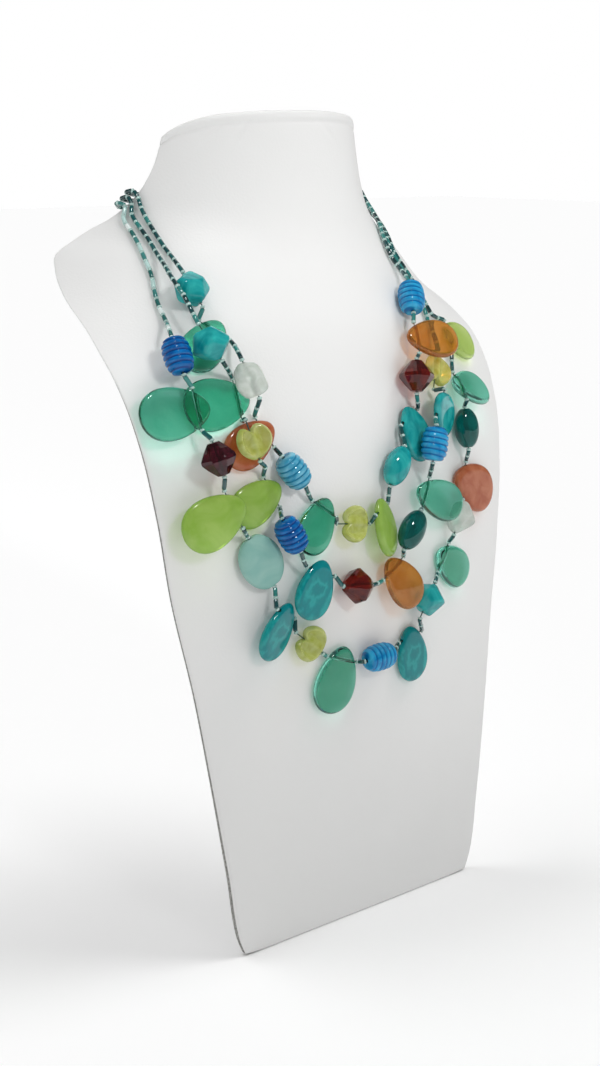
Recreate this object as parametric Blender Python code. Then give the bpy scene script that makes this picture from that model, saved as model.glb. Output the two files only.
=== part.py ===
"""A three-strand necklace of glass beads on a plain white neck display bust.

Units are metres, +Z is up and the bust faces -Y. The bust is a thin board bent like a chest and neck, with a
plain rear leg. The beads are drilled, and each of the three strings runs through its own beads, over the sides
of the neck and across the open back to one plain barrel clasp.
"""
import math

import bmesh
import bpy
from mathutils import Matrix, Vector

# Bust board
BUST_HEIGHT = 0.304
BUST_WIDTH = 0.180
SHOULDER_SETBACK = 0.086
NECK_LEAN = 0.036
NECK_ARCH = 0.0045
BOARD_THICKNESS = 0.0032
BOARD_COLUMNS = 16

# Rear leg: a strip with a flange against the board and a level foot
LEG_WIDTH = 0.022
LEG_THICKNESS = 0.004
LEG_REACH = 0.052
LEG_TOP = 0.182
LEG_BEND = 0.150

# Clearances
SEAT_GAP = 0.0003
FACET_GAP = 0.0006
DRILL_GAP = 0.0004

# String: thread inside the beads, small tube and seed beads between them
THREAD_DIAMETER = 0.0008
SPACER_DIAMETER = 0.0019
BORE_DIAMETER = THREAD_DIAMETER + 2 * DRILL_GAP
STRING_STEP = 0.0075
BEAD_LEAD = 0.0006

# Neck line of the three strings and the clasp behind the neck
COLLAR_DROP = 0.0275
COLLAR_HEIGHT = BUST_HEIGHT - COLLAR_DROP
CLASP_LENGTH = 0.013
CLASP_DIAMETER = 0.0078

# Main beads: length along the hole, width, depth
RIBBED_LENGTH = 0.0128
RIBBED_DIAMETER = 0.0104
RIB_COUNT = 5
RIB_DEPTH = 0.0005
NUGGET_LENGTH = 0.0138
NUGGET_WIDTH = 0.0134
NUGGET_DEPTH = 0.0118
CLEAR_LENGTH = 0.0130
CLEAR_WIDTH = 0.0128
CLEAR_DEPTH = 0.0112
BICONE_LENGTH = 0.0118
BICONE_DIAMETER = 0.0134
OVAL_LENGTH = 0.0152
OVAL_DIAMETER = 0.0098
FLAT_OVAL_LENGTH = 0.0198
FLAT_OVAL_WIDTH = 0.0168
FLAT_OVAL_DEPTH = 0.0062
PETAL_LENGTH = 0.0138
PETAL_WIDTH = 0.0150
PETAL_DEPTH = 0.0064
DROP_LENGTH = 0.0260
DROP_WIDTH = 0.0188
DROP_DEPTH = 0.0036
DROP_INSET = 0.0048
SMALL_DROP_LENGTH = 0.0226
SMALL_DROP_WIDTH = 0.0156
SMALL_DROP_DEPTH = 0.0036
SMALL_DROP_INSET = 0.0042
DROP_SIDES = 14

# Board sections as shares of the sizes above
BOARD_SECTIONS = (
    # height, half width, edge setback, centre setback
    (0.000, 0.645, 0.000, 0.000),
    (0.013, 0.662, 0.000, 0.000),
    (0.115, 0.722, 0.009, -0.030),
    (0.230, 0.781, 0.035, -0.083),
    (0.345, 0.839, 0.070, -0.097),
    (0.461, 0.911, 0.113, -0.070),
    (0.559, 0.948, 0.145, 0.014),
    (0.641, 0.976, 0.215, 0.111),
    (0.691, 0.992, 0.302, 0.194),
    (0.730, 1.000, 0.419, 0.264),
    (0.763, 0.983, 0.581, 0.347),
    (0.799, 0.950, 0.814, 0.486),
    (0.826, 0.911, 0.942, 0.611),
    (0.845, 0.867, 1.000, 0.708),
    (0.862, 0.778, 0.988, 0.778),
    (0.888, 0.667, 0.895, 0.861),
    (0.921, 0.594, 0.802, 0.931),
    (0.954, 0.550, 0.756, 0.972),
    (1.000, 0.511, 0.733, 1.000),
)

# Strings, from the left side of the neck over the front to the right side.
# A bead row: name, kind, glass, millimetres across from the middle, millimetres below the collar line,
# layers of flat bead under it, and degrees turned in the board's plane, tipped off the board and twisted
# about its own length.
# A way row: "way", millimetres across, millimetres below the collar line, millimetres clear of the board.
INNER_STRING = (
    ("way", -53.6, 5.1, 1.3),
    ("way", -54.0, 9.6, 1.3),
    ("way", -54.3, 13.6, 1.3),
    ("way", -54.6, 17.3, 1.3),
    ("way", -54.3, 21.3, 2.6),
    ("nugget_inner_1", "nugget", "turquoise", -53.8, 33.7, 0, 0, 0, 0),
    ("drop_inner_2", "small_drop", "green", -52.5, 45.5, 0, 28, 0, 0),
    ("clear_inner_3", "clear", "frosted", -48.1, 62.7, 0.8, 0, 0, 0),
    ("drop_inner_4", "small_drop", "copper", -43.4, 80.1, 0, 6, 0, 0),
    ("ribbed_inner_5", "ribbed", "light_blue", -35.5, 94.3, 0, 0, 0, 0),
    ("drop_inner_6", "small_drop", "green", -21.5, 109.7, 0, 6, 4, 0),
    ("petal_inner_7", "petal", "lime", -11.3, 116.3, 0.5, 0, 0, 0),
    ("drop_inner_8", "small_drop", "lime", 2.3, 112.9, 0.35, -26, 0, 26),
    ("oval_inner_9", "oval", "turquoise", 12.3, 98.2, 0, 0, 0, 0),
    ("drop_inner_10", "small_drop", "turquoise", 23.4, 81.5, 0, -44, 0, 6),
    ("bicone_inner_11", "bicone", "garnet", 25.6, 67.1, 0, 0, 0, 0),
    ("drop_inner_12", "small_drop", "amber", 29.0, 53.8, 1, 8, 20, 10),
    ("ribbed_inner_13", "ribbed", "blue", 34.6, 40.3, 0, 0, 0, 0),
    ("way", 40.6, 28.7, 2.4),
    ("way", 39.9, 23.4, 1.3),
    ("way", 40.9, 18.0, 1.3),
    ("way", 44.5, 13.4, 1.3),
    ("way", 48.7, 8.9, 1.3),
    ("way", 51.4, 4.2, 1.3),
)
MIDDLE_STRING = (
    ("way", -56.0, 6.1, 1.3),
    ("way", -56.6, 10.2, 1.3),
    ("way", -56.9, 14.5, 1.3),
    ("way", -57.6, 18.5, 1.6),
    ("way", -57.7, 21.8, 3.2),
    ("way", -57.9, 26.5, 6.6),
    ("way", -58.3, 30.8, 9.4),
    ("way", -58.7, 35.6, 11.5),
    ("way", -58.8, 38.9, 11.5),
    ("nugget_middle_1", "nugget", "turquoise", -58.1, 52.2, 1, 0, 0, 0),
    ("drop_middle_2", "drop", "green", -51.6, 68.4, 0, -12, 0, 0),
    ("petal_middle_3", "petal", "lime", -51.0, 82.6, 1, 0, 0, 0),
    ("way", -46.6, 91.6, 5.6),
    ("drop_middle_4", "small_drop", "lime", -43.2, 100.9, 0, 12, 0, 0),
    ("ribbed_middle_5", "ribbed", "blue", -40.8, 115.9, 1, 0, 0, 0),
    ("drop_middle_6", "small_drop", "swirl", -27.3, 131.2, 1, 15, 0, 0),
    ("bicone_middle_7", "bicone", "garnet", -12.0, 138.8, 0, 0, 0, 0),
    ("drop_middle_8", "small_drop", "amber", 6.3, 135.5, 1, 0, 8, 0),
    ("oval_middle_9", "oval", "teal", 13.2, 122, 1.2, 0, 0, 0),
    ("drop_middle_10", "small_drop", "green", 25.4, 110.3, 1, 0, 12, 0),
    ("ribbed_middle_11", "ribbed", "blue", 27.5, 92.1, 1.3, 0, 0, 0),
    ("drop_middle_12", "small_drop", "turquoise", 34.4, 78.3, 1.8, -10, -24, 0),
    ("petal_middle_13", "petal", "lime", 41.4, 66.6, 0, 0, 0, 0),
    ("way", 46.8, 52.0, 1.3),
    ("way", 48.6, 43.5, 1.3),
    ("way", 48.3, 35.1, 1.3),
    ("way", 44.2, 27.9, 1.3),
    ("way", 42.6, 23.0, 1.3),
    ("way", 43.3, 19.0, 1.3),
    ("way", 46.5, 15.0, 1.3),
    ("way", 50.8, 10.4, 1.3),
    ("way", 53.8, 5.2, 1.3),
)
OUTER_STRING = (
    ("way", -58.3, 8.0, 1.3),
    ("way", -59.2, 12.4, 1.3),
    ("way", -60.5, 17.2, 1.3),
    ("way", -61.3, 20.6, 1.3),
    ("way", -62.1, 26.7, 1.3),
    ("way", -63.6, 32.0, 1.3),
    ("way", -64.8, 36.7, 1.6),
    ("way", -66.2, 43.6, 3.6),
    ("ribbed_outer_1", "ribbed", "blue", -69.8, 56.0, 1, 0, 0, 0),
    ("drop_outer_2", "drop", "green", -68.6, 71.5, 1.4, -8, 0, 0),
    ("bicone_outer_3", "bicone", "garnet", -65.9, 87.5, 1, 0, 0, 0),
    ("drop_outer_4", "drop", "lime", -61.8, 104.7, 1.8, 0, 0, 0),
    ("flat_oval_outer_5", "flat_oval", "pale", -50.0, 124.9, 0, 0, 0, 0),
    ("drop_outer_6", "small_drop", "swirl", -41.7, 144.8, 0.1, 30, 0, 24),
    ("petal_outer_7", "petal", "lime", -31.4, 157.7, 0, 0, 0, 0),
    ("drop_outer_8", "drop", "green", -16.0, 166.9, 0, 0, 0, 0),
    ("ribbed_outer_9", "ribbed", "blue", -0.6, 168.4, 0, 0, 0, 0),
    ("drop_outer_10", "small_drop", "swirl", 18.8, 165.3, 0, -25, 0, 0),
    ("nugget_outer_11", "nugget", "turquoise", 24.3, 151.1, 0, 0, 0, 0),
    ("drop_outer_12", "small_drop", "green", 38.6, 137.6, 0, 0, 0, 0),
    ("clear_outer_13", "clear", "frosted", 44.2, 122.4, 0, 0, 0, 0),
    ("drop_outer_14", "drop", "copper", 52.9, 109.5, 0, -8, 0, 0),
    ("oval_outer_15", "oval", "teal", 54.1, 89.6, 0, 0, 0, 0),
    ("drop_outer_16", "small_drop", "green", 52.9, 73.8, 0.3, 0, 0, 25),
    ("drop_outer_17", "small_drop", "pale_lime", 58.4, 55, 0, -12, 0, 0),
    ("way", 53.2, 47.0, 1.3),
    ("way", 51.6, 40.0, 1.3),
    ("way", 50.6, 33.9, 1.3),
    ("way", 46.9, 27.2, 1.3),
    ("way", 45.1, 22.8, 1.3),
    ("way", 45.7, 20.2, 1.3),
    ("way", 48.6, 16.6, 1.3),
    ("way", 52.9, 11.9, 1.3),
    ("way", 56.4, 6.4, 1.3),
)
STRINGS = {"inner": INNER_STRING, "middle": MIDDLE_STRING, "outer": OUTER_STRING}

# Place of each string where the three lie side by side over the neck's edges: rows above the middle one
BUNDLE_PITCH = 0.0030
EDGE_LEAN = 1.75
BUNDLE_ROWS = {"inner": 1, "middle": 0, "outer": -1}

# Glass and board finishes: red, green, blue (0 to 255), roughness
FINISHES = {
    "turquoise": (22, 160, 160, 0.12),
    "frosted": (222, 228, 220, 0.45),
    "copper": (184, 106, 74, 0.15),
    "light_blue": (82, 182, 218, 0.15),
    "blue": (22, 112, 192, 0.12),
    "green": (60, 170, 130, 0.08),
    "lime": (164, 205, 84, 0.20),
    "pale_lime": (205, 222, 140, 0.20),
    "garnet": (92, 22, 28, 0.06),
    "amber": (190, 115, 38, 0.10),
    "swirl": (30, 150, 148, 0.10),
    "teal": (10, 100, 96, 0.08),
    "pale": (160, 204, 194, 0.30),
    "string": (40, 110, 108, 0.20),
    "board": (236, 234, 231, 0.55),
    "clasp": (176, 176, 172, 0.35),
}

MM = 0.001
PROBE = 0.0005


def clear_scene():
    for item in list(bpy.data.objects):
        bpy.data.objects.remove(item, do_unlink=True)


def linear(channel):
    value = channel / 255
    return value / 12.92 if value <= 0.04045 else ((value + 0.055) / 1.055) ** 2.4


def finish(name):
    """The material of one finish, made once and shared."""
    if name in bpy.data.materials:
        return bpy.data.materials[name]
    red, green, blue, roughness = FINISHES[name]
    material = bpy.data.materials.new(name)
    material.use_nodes = True
    shader = material.node_tree.nodes["Principled BSDF"]
    shader.inputs["Base Color"].default_value = (linear(red), linear(green), linear(blue), 1)
    shader.inputs["Roughness"].default_value = roughness
    shader.inputs["Metallic"].default_value = 1.0 if name == "clasp" else 0.0
    return material


def monotone(keys, values, at):
    """A smooth curve through the values that never overshoots them."""
    at = min(max(at, keys[0]), keys[-1])
    last = len(keys) - 2
    index = next((i for i in range(last + 1) if at <= keys[i + 1]), last)

    def secant(i):
        return (values[i + 1] - values[i]) / (keys[i + 1] - keys[i])

    def slope(i):
        if i == 0:
            return secant(0)
        if i == last + 1:
            return secant(last)
        before, after = secant(i - 1), secant(i)
        if before * after <= 0:
            return 0.0
        span_before, span_after = keys[i] - keys[i - 1], keys[i + 1] - keys[i]
        mean = (before * span_after + after * span_before) / (span_before + span_after)
        return math.copysign(min(2 * abs(before), 2 * abs(after), abs(mean)), before)

    span = keys[index + 1] - keys[index]
    t = (at - keys[index]) / span
    return ((2 * t**3 - 3 * t**2 + 1) * values[index] + (t**3 - 2 * t**2 + t) * span * slope(index)
            + (3 * t**2 - 2 * t**3) * values[index + 1] + (t**3 - t**2) * span * slope(index + 1))


SECTION_COLUMNS = tuple(zip(*BOARD_SECTIONS))


def board_section(height):
    """Half width, edge setback and centre setback of the board at a height."""
    share = height / BUST_HEIGHT
    heights, widths, edges, centres = SECTION_COLUMNS
    return (monotone(heights, widths, share) * BUST_WIDTH / 2,
            monotone(heights, edges, share) * SHOULDER_SETBACK,
            monotone(heights, centres, share) * NECK_LEAN)


def board_setback(across, height):
    """Setback of the board's front, which is an arc through its centre and edges at each height."""
    half_width, edge, centre = board_section(height)
    sagitta = edge - centre
    if sagitta < PROBE:
        return centre + sagitta * (across / half_width) ** 2
    radius = (half_width**2 + sagitta**2) / (2 * sagitta)
    reach = min(abs(across), 0.999 * radius)
    return centre + radius - math.sqrt(radius**2 - reach**2)


def board_normal(across, height):
    slope_x = (board_setback(across + PROBE, height) - board_setback(across - PROBE, height)) / (2 * PROBE)
    slope_z = (board_setback(across, height + PROBE) - board_setback(across, height - PROBE)) / (2 * PROBE)
    return Vector((slope_x, -1, slope_z)).normalized()


def board_point(across, height, lift=0.0):
    front = Vector((across, board_setback(across, height), height))
    return front + board_normal(across, height) * lift


def link(name, data, finish_name):
    item = bpy.data.objects.new(name, data)
    bpy.context.collection.objects.link(item)
    data.materials.clear()
    data.materials.append(finish(finish_name))
    return item


def skin(rings, closed=False):
    """A mesh over rings of points: capped at both ends, or closed from the last ring to the first."""
    mesh_data = bmesh.new()
    rows = [[mesh_data.verts.new(point) for point in ring] for ring in rings]
    pairs = list(zip(rows, rows[1:]))
    if closed:
        pairs.append((rows[-1], rows[0]))
    else:
        mesh_data.faces.new(reversed(rows[0]))
        mesh_data.faces.new(rows[-1])
    for low, high in pairs:
        for index, corner in enumerate(low):
            following = (index + 1) % len(low)
            mesh_data.faces.new((corner, low[following], high[following], high[index]))
    bmesh.ops.recalc_face_normals(mesh_data, faces=mesh_data.faces)
    mesh = bpy.data.meshes.new("bead")
    mesh_data.to_mesh(mesh)
    mesh_data.free()
    return mesh


def smooth(mesh, angle=40):
    mesh.shade_smooth()
    mesh.set_sharp_from_angle(angle=math.radians(angle))


def turn_angles(sides):
    return [2 * math.pi * index / sides for index in range(sides)]


def turned_bead(length, width, depth, profile, sides, section=None):
    """A drilled bead turned about its hole, which lies along X.

    The profile is a list of (share of half length, share of half width). A section gives the radius a
    multiplier for an angle and a share of the length, for beads that aren't round.
    """
    rings = []
    for along, out in profile:
        ring = []
        for angle in turn_angles(sides):
            factor = out if section is None else out * section(angle, along)
            ring.append((along * length / 2, math.cos(angle) * factor * width / 2,
                         math.sin(angle) * factor * depth / 2))
        rings.append(ring)
    for along in (profile[-1][0], profile[0][0]):
        rings.append([(along * length / 2, math.cos(angle) * BORE_DIAMETER / 2,
                       math.sin(angle) * BORE_DIAMETER / 2) for angle in turn_angles(sides)])
    mesh = skin(rings, closed=True)
    smooth(mesh)
    return mesh


def drilled(mesh, length):
    """The mesh with a hole along X through its origin."""
    body = bpy.data.objects.new("undrilled", mesh)
    drill_mesh = skin([[(end * length, math.cos(angle) * BORE_DIAMETER / 2, math.sin(angle) * BORE_DIAMETER / 2)
                        for angle in turn_angles(8)] for end in (-1, 1)])
    drill = bpy.data.objects.new("drill", drill_mesh)
    for item in (body, drill):
        bpy.context.collection.objects.link(item)
    drill.hide_render = True
    drill.display_type = "WIRE"
    cut = body.modifiers.new("hole", "BOOLEAN")
    cut.object = drill
    cut.operation = "DIFFERENCE"
    bpy.context.view_layer.update()
    result = bpy.data.meshes.new_from_object(body.evaluated_get(bpy.context.evaluated_depsgraph_get()))
    for item in (body, drill):
        bpy.data.objects.remove(item, do_unlink=True)
    smooth(result)
    return result


def slab(outline, depth, rim):
    """A flat bead in the XY plane: an outline with a rounded rim, given as (share of outline, share of depth)."""
    centre = sum((Vector(point) for point in outline), Vector((0, 0))) / len(outline)
    levels = [(share, -level) for share, level in reversed(rim)] + rim[1:]
    return skin([[(centre.x + (x - centre.x) * share, centre.y + (y - centre.y) * share, level * depth)
                  for x, y in outline] for share, level in levels])


def egg_half_width(share, width):
    """Half width of an egg outline at a share of its length from the narrow end."""
    cosine = 1 - 2 * share
    return width / 2 * math.sqrt(max(0, 1 - cosine**2)) * (1 - 0.22 * cosine) / 1.02


def drop_bead(length, width, depth, inset):
    """An egg-shaped drop drilled crosswise near its narrow end, with its body towards -Y."""
    outline = []
    for angle in turn_angles(DROP_SIDES):
        share = (1 - math.cos(angle)) / 2
        side = math.copysign(1, math.sin(angle)) if abs(math.sin(angle)) > 1e-6 else 0
        outline.append((-side * egg_half_width(share, width), inset - share * length))
    rim = [(1, 0), (0.965, 0.34), (0.86, 0.5)]
    return drilled(slab(outline, depth, rim), width)


def drop_reach(length, width, inset):
    """How wide a drop is across its hole, where the side of a spacer stands."""
    return 2 * egg_half_width((inset + SPACER_DIAMETER / 2) / length, width)


def ribbed_bead():
    """A wound barrel with ribs round it."""
    steps = 2 * RIB_COUNT
    groove = 2 * RIB_DEPTH / RIBBED_DIAMETER
    profile = [(-1, 0.42)]
    for step in range(steps + 1):
        along = 0.92 * (2 * step / steps - 1)
        barrel = (1 - abs(along) ** 2.6) ** 0.5 * 0.5 + 0.5
        profile.append((along, barrel - (groove if step % 2 == 0 else 0)))
    profile.append((1, 0.42))
    return turned_bead(RIBBED_LENGTH, RIBBED_DIAMETER, RIBBED_DIAMETER, profile, 10)


def nugget_section(angle, along):
    return 1 + 0.05 * math.cos(2 * angle + 2.2 * along) + 0.035 * math.cos(3 * angle + 0.8 - 1.5 * along)


def nugget_bead(length, width, depth):
    """A tumbled chunk with soft corners."""
    profile = [(-1, 0.30), (-0.86, 0.66), (-0.45, 0.92), (0.05, 0.95), (0.5, 0.86), (0.88, 0.56), (1, 0.26)]
    return turned_bead(length, width, depth, profile, 12, nugget_section)


def bicone_bead():
    """A faceted double cone with a narrow girdle."""
    profile = [(-1, 0.34), (-0.5, 0.74), (-0.1, 1.0), (0.1, 1.0), (0.5, 0.74), (1, 0.34)]
    mesh = turned_bead(BICONE_LENGTH, BICONE_DIAMETER, BICONE_DIAMETER, profile, 8)
    mesh.shade_flat()
    return mesh


def olive_profile(steps, end):
    """Shares of an olive's profile between ends of the given radius."""
    tip = math.acos(end)
    return [(math.sin(tip * (2 * step / steps - 1)) / math.sin(tip), math.cos(tip * (2 * step / steps - 1)))
            for step in range(steps + 1)]


def petal_outline():
    """A heart with its notch towards -X, where the string comes in."""
    points = []
    for angle in turn_angles(14):
        notch = 0.30 * math.exp(-(((angle - math.pi) / 0.42) ** 2))
        tip = 0.08 * math.exp(-((min(angle, 2 * math.pi - angle) / 0.5) ** 2))
        radius = 0.92 - notch + tip
        points.append((math.cos(angle) * radius * PETAL_LENGTH / 2, math.sin(angle) * radius * PETAL_WIDTH / 2))
    return points


def petal_bead():
    """A puffed heart-shaped petal, drilled lengthwise."""
    rim = [(1, 0), (0.95, 0.24), (0.74, 0.44), (0.36, 0.5)]
    return drilled(slab(petal_outline(), PETAL_DEPTH, rim), PETAL_LENGTH)


# Each kind: its maker, its reach along the string, and its depth off the board
KINDS = {
    "ribbed": (ribbed_bead, RIBBED_LENGTH, RIBBED_DIAMETER),
    "nugget": (lambda: nugget_bead(NUGGET_LENGTH, NUGGET_WIDTH, NUGGET_DEPTH), NUGGET_LENGTH, NUGGET_DEPTH),
    "clear": (lambda: nugget_bead(CLEAR_LENGTH, CLEAR_WIDTH, CLEAR_DEPTH), CLEAR_LENGTH, CLEAR_DEPTH),
    "bicone": (bicone_bead, BICONE_LENGTH, BICONE_DIAMETER),
    "oval": (lambda: turned_bead(OVAL_LENGTH, OVAL_DIAMETER, OVAL_DIAMETER, olive_profile(6, 0.34), 12),
             OVAL_LENGTH, OVAL_DIAMETER),
    "flat_oval": (lambda: turned_bead(FLAT_OVAL_LENGTH, FLAT_OVAL_WIDTH, FLAT_OVAL_DEPTH,
                                      olive_profile(8, 0.36), 12),
                  FLAT_OVAL_LENGTH, FLAT_OVAL_DEPTH),
    "petal": (petal_bead, PETAL_LENGTH, PETAL_DEPTH),
    "drop": (lambda: drop_bead(DROP_LENGTH, DROP_WIDTH, DROP_DEPTH, DROP_INSET),
             drop_reach(DROP_LENGTH, DROP_WIDTH, DROP_INSET), DROP_DEPTH),
    "small_drop": (lambda: drop_bead(SMALL_DROP_LENGTH, SMALL_DROP_WIDTH, SMALL_DROP_DEPTH, SMALL_DROP_INSET),
                   drop_reach(SMALL_DROP_LENGTH, SMALL_DROP_WIDTH, SMALL_DROP_INSET), SMALL_DROP_DEPTH),
}


def row_point(row):
    """Where a row's way point or bead hole lies, and the board's normal there."""
    if row[0] == "way":
        across, below, lift = (value * MM for value in row[1:])
    else:
        across, below = row[3] * MM, row[4] * MM
        _, reach, depth = KINDS[row[1]]
        twist = math.radians(abs(row[8]))
        lift = (depth * math.cos(twist) + reach * math.sin(twist)) / 2 + SEAT_GAP
        lift += row[5] * (DROP_DEPTH + SEAT_GAP)
    height = COLLAR_HEIGHT - below
    return board_point(across, height, lift), board_normal(across, height)


def bead_places(rows):
    """The matrix of each bead: X along its hole, Z off the board."""
    spots = [row_point(row) for row in rows]
    places = {}
    for index, row in enumerate(rows):
        if row[0] == "way":
            continue
        point, normal = spots[index]
        heading = spots[index + 1][0] - spots[index - 1][0]
        forward = (heading - normal * heading.dot(normal)).normalized()
        turn, tip, twist = (math.radians(angle) for angle in row[6:])
        forward = Matrix.Rotation(turn, 3, normal) @ forward
        normal = Matrix.Rotation(-tip, 3, forward) @ normal
        side = normal.cross(forward)
        forward = Matrix.Rotation(twist, 3, side) @ forward
        normal = Matrix.Rotation(twist, 3, side) @ normal
        places[row[0]] = Matrix.Translation(point) @ Matrix(
            (forward, side, normal)).transposed().to_4x4()
    return places


def neck_wrap(name, side):
    """Points over the side of the neck and behind it, from the front to the clasp."""
    height = COLLAR_HEIGHT + BUNDLE_ROWS[name] * BUNDLE_PITCH
    half_width = board_section(height)[0]
    corner = board_point(side * half_width, height)
    normal = board_normal(side * half_width, height)
    beyond = Vector((-normal.y * side, normal.x * side, 0)).normalized()
    inner_corner = corner - normal * BOARD_THICKNESS
    lift = SPACER_DIAMETER / 2 + SEAT_GAP
    end = clasp_centre() + Vector((side * (CLASP_LENGTH / 2 + SEAT_GAP), 0,
                                   BUNDLE_ROWS[name] * (SPACER_DIAMETER + SEAT_GAP)))
    return [board_point(side * (half_width - lift / 2), height, lift), corner + (normal + beyond * EDGE_LEAN) * lift,
            inner_corner + (beyond * EDGE_LEAN - normal * 0.4) * lift, end]


def clasp_centre():
    half_width, edge, _ = board_section(COLLAR_HEIGHT)
    return Vector((0, edge + CLASP_DIAMETER / 2, COLLAR_HEIGHT))


def string_knots(name, rows, places):
    """Knots along a string: a point, its direction or None, and whether it is bare thread in a bead's hole."""
    knots = [(point, None, False) for point in reversed(neck_wrap(name, -1))]
    for row in rows:
        if row[0] == "way":
            knots.append((row_point(row)[0], None, False))
            continue
        place = places[row[0]]
        centre, forward = place.translation, place.to_3x3().col[0].normalized()
        reach = KINDS[row[1]][1] / 2 + SEAT_GAP
        for along, bare in ((-reach - BEAD_LEAD, False), (-reach, True), (reach, True), (reach + BEAD_LEAD, False)):
            knots.append((centre + forward * along, forward, bare))
    return knots + [(point, None, False) for point in neck_wrap(name, 1)]


def off_board(point):
    """The point, pushed out along the board's normal if a spacer there would touch the board's front."""
    if abs(point.x) > board_section(point.z)[0] - SPACER_DIAMETER / 2:
        return point
    normal = board_normal(point.x, point.z)
    clear = (board_setback(point.x, point.z) - point.y) * -normal.y
    if clear < 0:
        return point
    return point + normal * max(0, SPACER_DIAMETER / 2 + FACET_GAP - clear)


def string_points(knots):
    """Points and radii of a string: smooth between its beads and straight inside them."""
    spots = [knot[0] for knot in knots]
    tangents = []
    for index, (point, direction, _) in enumerate(knots):
        before, after = spots[max(index - 1, 0)], spots[min(index + 1, len(spots) - 1)]
        tangents.append(direction or (after - before).normalized())
    points = []
    for index, (start, end) in enumerate(zip(spots, spots[1:])):
        if knots[index][2] or knots[index + 1][2]:
            points.append((start, (THREAD_DIAMETER if knots[index][2] else SPACER_DIAMETER) / 2))
            continue
        length = (end - start).length
        pieces = max(1, round(length / STRING_STEP))
        for piece in range(pieces):
            t = piece / pieces
            point = ((2 * t**3 - 3 * t**2 + 1) * start + (t**3 - 2 * t**2 + t) * length * tangents[index]
                     + (3 * t**2 - 2 * t**3) * end + (t**3 - t**2) * length * tangents[index + 1])
            points.append((off_board(point), SPACER_DIAMETER / 2))
    return points + [(spots[-1], SPACER_DIAMETER / 2)]


def make_string(name, rows, places):
    curve = bpy.data.curves.new("string_" + name, "CURVE")
    curve.dimensions = "3D"
    curve.bevel_depth = 1.0
    curve.bevel_resolution = 2
    curve.use_fill_caps = True
    points = string_points(string_knots(name, rows, places))
    spline = curve.splines.new("POLY")
    spline.points.add(len(points) - 1)
    for target, (point, radius) in zip(spline.points, points):
        target.co = (*point, 1)
        target.radius = radius
    return link("string_" + name, curve, "string")


def make_beads(rows, places, prototypes):
    beads = []
    for row in rows:
        if row[0] == "way":
            continue
        name, kind, glass = row[:3]
        if kind not in prototypes:
            prototypes[kind] = KINDS[kind][0]()
        bead = link(name, prototypes[kind].copy(), glass)
        bead.matrix_world = places[name]
        beads.append(bead)
    return beads


def board_shares():
    """Shares of the board's height at which its mesh has a row: the sections and the middles between them."""
    heights = SECTION_COLUMNS[0]
    return sorted(list(heights) + [(low + high) / 2 for low, high in zip(heights, heights[1:])])


def board_row(share):
    """Pairs of front and back points across the board at a share of its height."""
    height = BUST_HEIGHT * share
    half_width, edge, centre = board_section(height)
    sagitta = max(edge - centre, MM * 0.01)
    radius = (half_width**2 + sagitta**2) / (2 * sagitta)
    pairs = []
    for column in range(BOARD_COLUMNS + 1):
        across = 2 * column / BOARD_COLUMNS - 1
        turn = math.atan2(half_width, radius - sagitta) * across
        front = board_point(radius * math.sin(turn), height)
        if share == 0:
            back = front + Vector((0, BOARD_THICKNESS, 0))
        else:
            back = front - board_normal(front.x, height) * BOARD_THICKNESS
        back.z = height
        rise = Vector((0, 0, NECK_ARCH * (1 - across**2) * max(0, 8 * share - 7)))
        pairs.append((front + rise, back + rise))
    return pairs


def make_board():
    """The bust's board: a front grid and a back grid, joined round the edges."""
    mesh_data = bmesh.new()
    grid = [[[mesh_data.verts.new(spot) for spot in pair] for pair in board_row(share)]
            for share in board_shares()]

    def quad(*corners):
        mesh_data.faces.new(corners)

    for low, high in zip(grid, grid[1:]):
        for column in range(BOARD_COLUMNS):
            for face in (0, 1):
                quad(low[column][face], low[column + 1][face], high[column + 1][face], high[column][face])
        for column in (0, BOARD_COLUMNS):
            quad(low[column][0], low[column][1], high[column][1], high[column][0])
    for row in (grid[0], grid[-1]):
        for left, right in zip(row, row[1:]):
            quad(left[0], left[1], right[1], right[0])
    bmesh.ops.recalc_face_normals(mesh_data, faces=mesh_data.faces)
    mesh = bpy.data.meshes.new("bust_shell")
    mesh_data.to_mesh(mesh)
    mesh_data.free()
    smooth(mesh)
    return link("bust_shell", mesh, "board")


def make_leg():
    """A bent strip: a flange against the board's back, and a leg out to a level foot."""
    def behind(height):
        normal = board_normal(0, height)
        return board_setback(0, height) + (BOARD_THICKNESS + SEAT_GAP) / abs(normal.y)

    flange = [LEG_BEND + (LEG_TOP - LEG_BEND) * step / 4 for step in range(5)]
    heel = LEG_REACH - LEG_THICKNESS
    inner = [(heel, 0.0)] + [(behind(height), height) for height in flange]
    outer = [(LEG_REACH + LEG_THICKNESS * 0.1, 0.0), (behind(LEG_BEND) + LEG_THICKNESS, LEG_BEND + LEG_THICKNESS)]
    outer += [(behind(height) + LEG_THICKNESS, height) for height in flange[2:]]
    profile = inner + outer[::-1]
    rings = [[(side * LEG_WIDTH / 2, y, z) for y, z in profile] for side in (-1, 1)]
    return link("bust_leg", skin(rings), "board")


def make_clasp():
    mesh = skin([[(along * CLASP_LENGTH / 2, math.cos(angle) * out * CLASP_DIAMETER / 2,
                   math.sin(angle) * out * CLASP_DIAMETER / 2) for angle in turn_angles(12)]
                 for along, out in ((-1, 0.8), (-0.85, 1), (0.85, 1), (1, 0.8))])
    smooth(mesh, 30)
    clasp = link("clasp", mesh, "clasp")
    clasp.location = clasp_centre()
    return clasp


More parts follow.
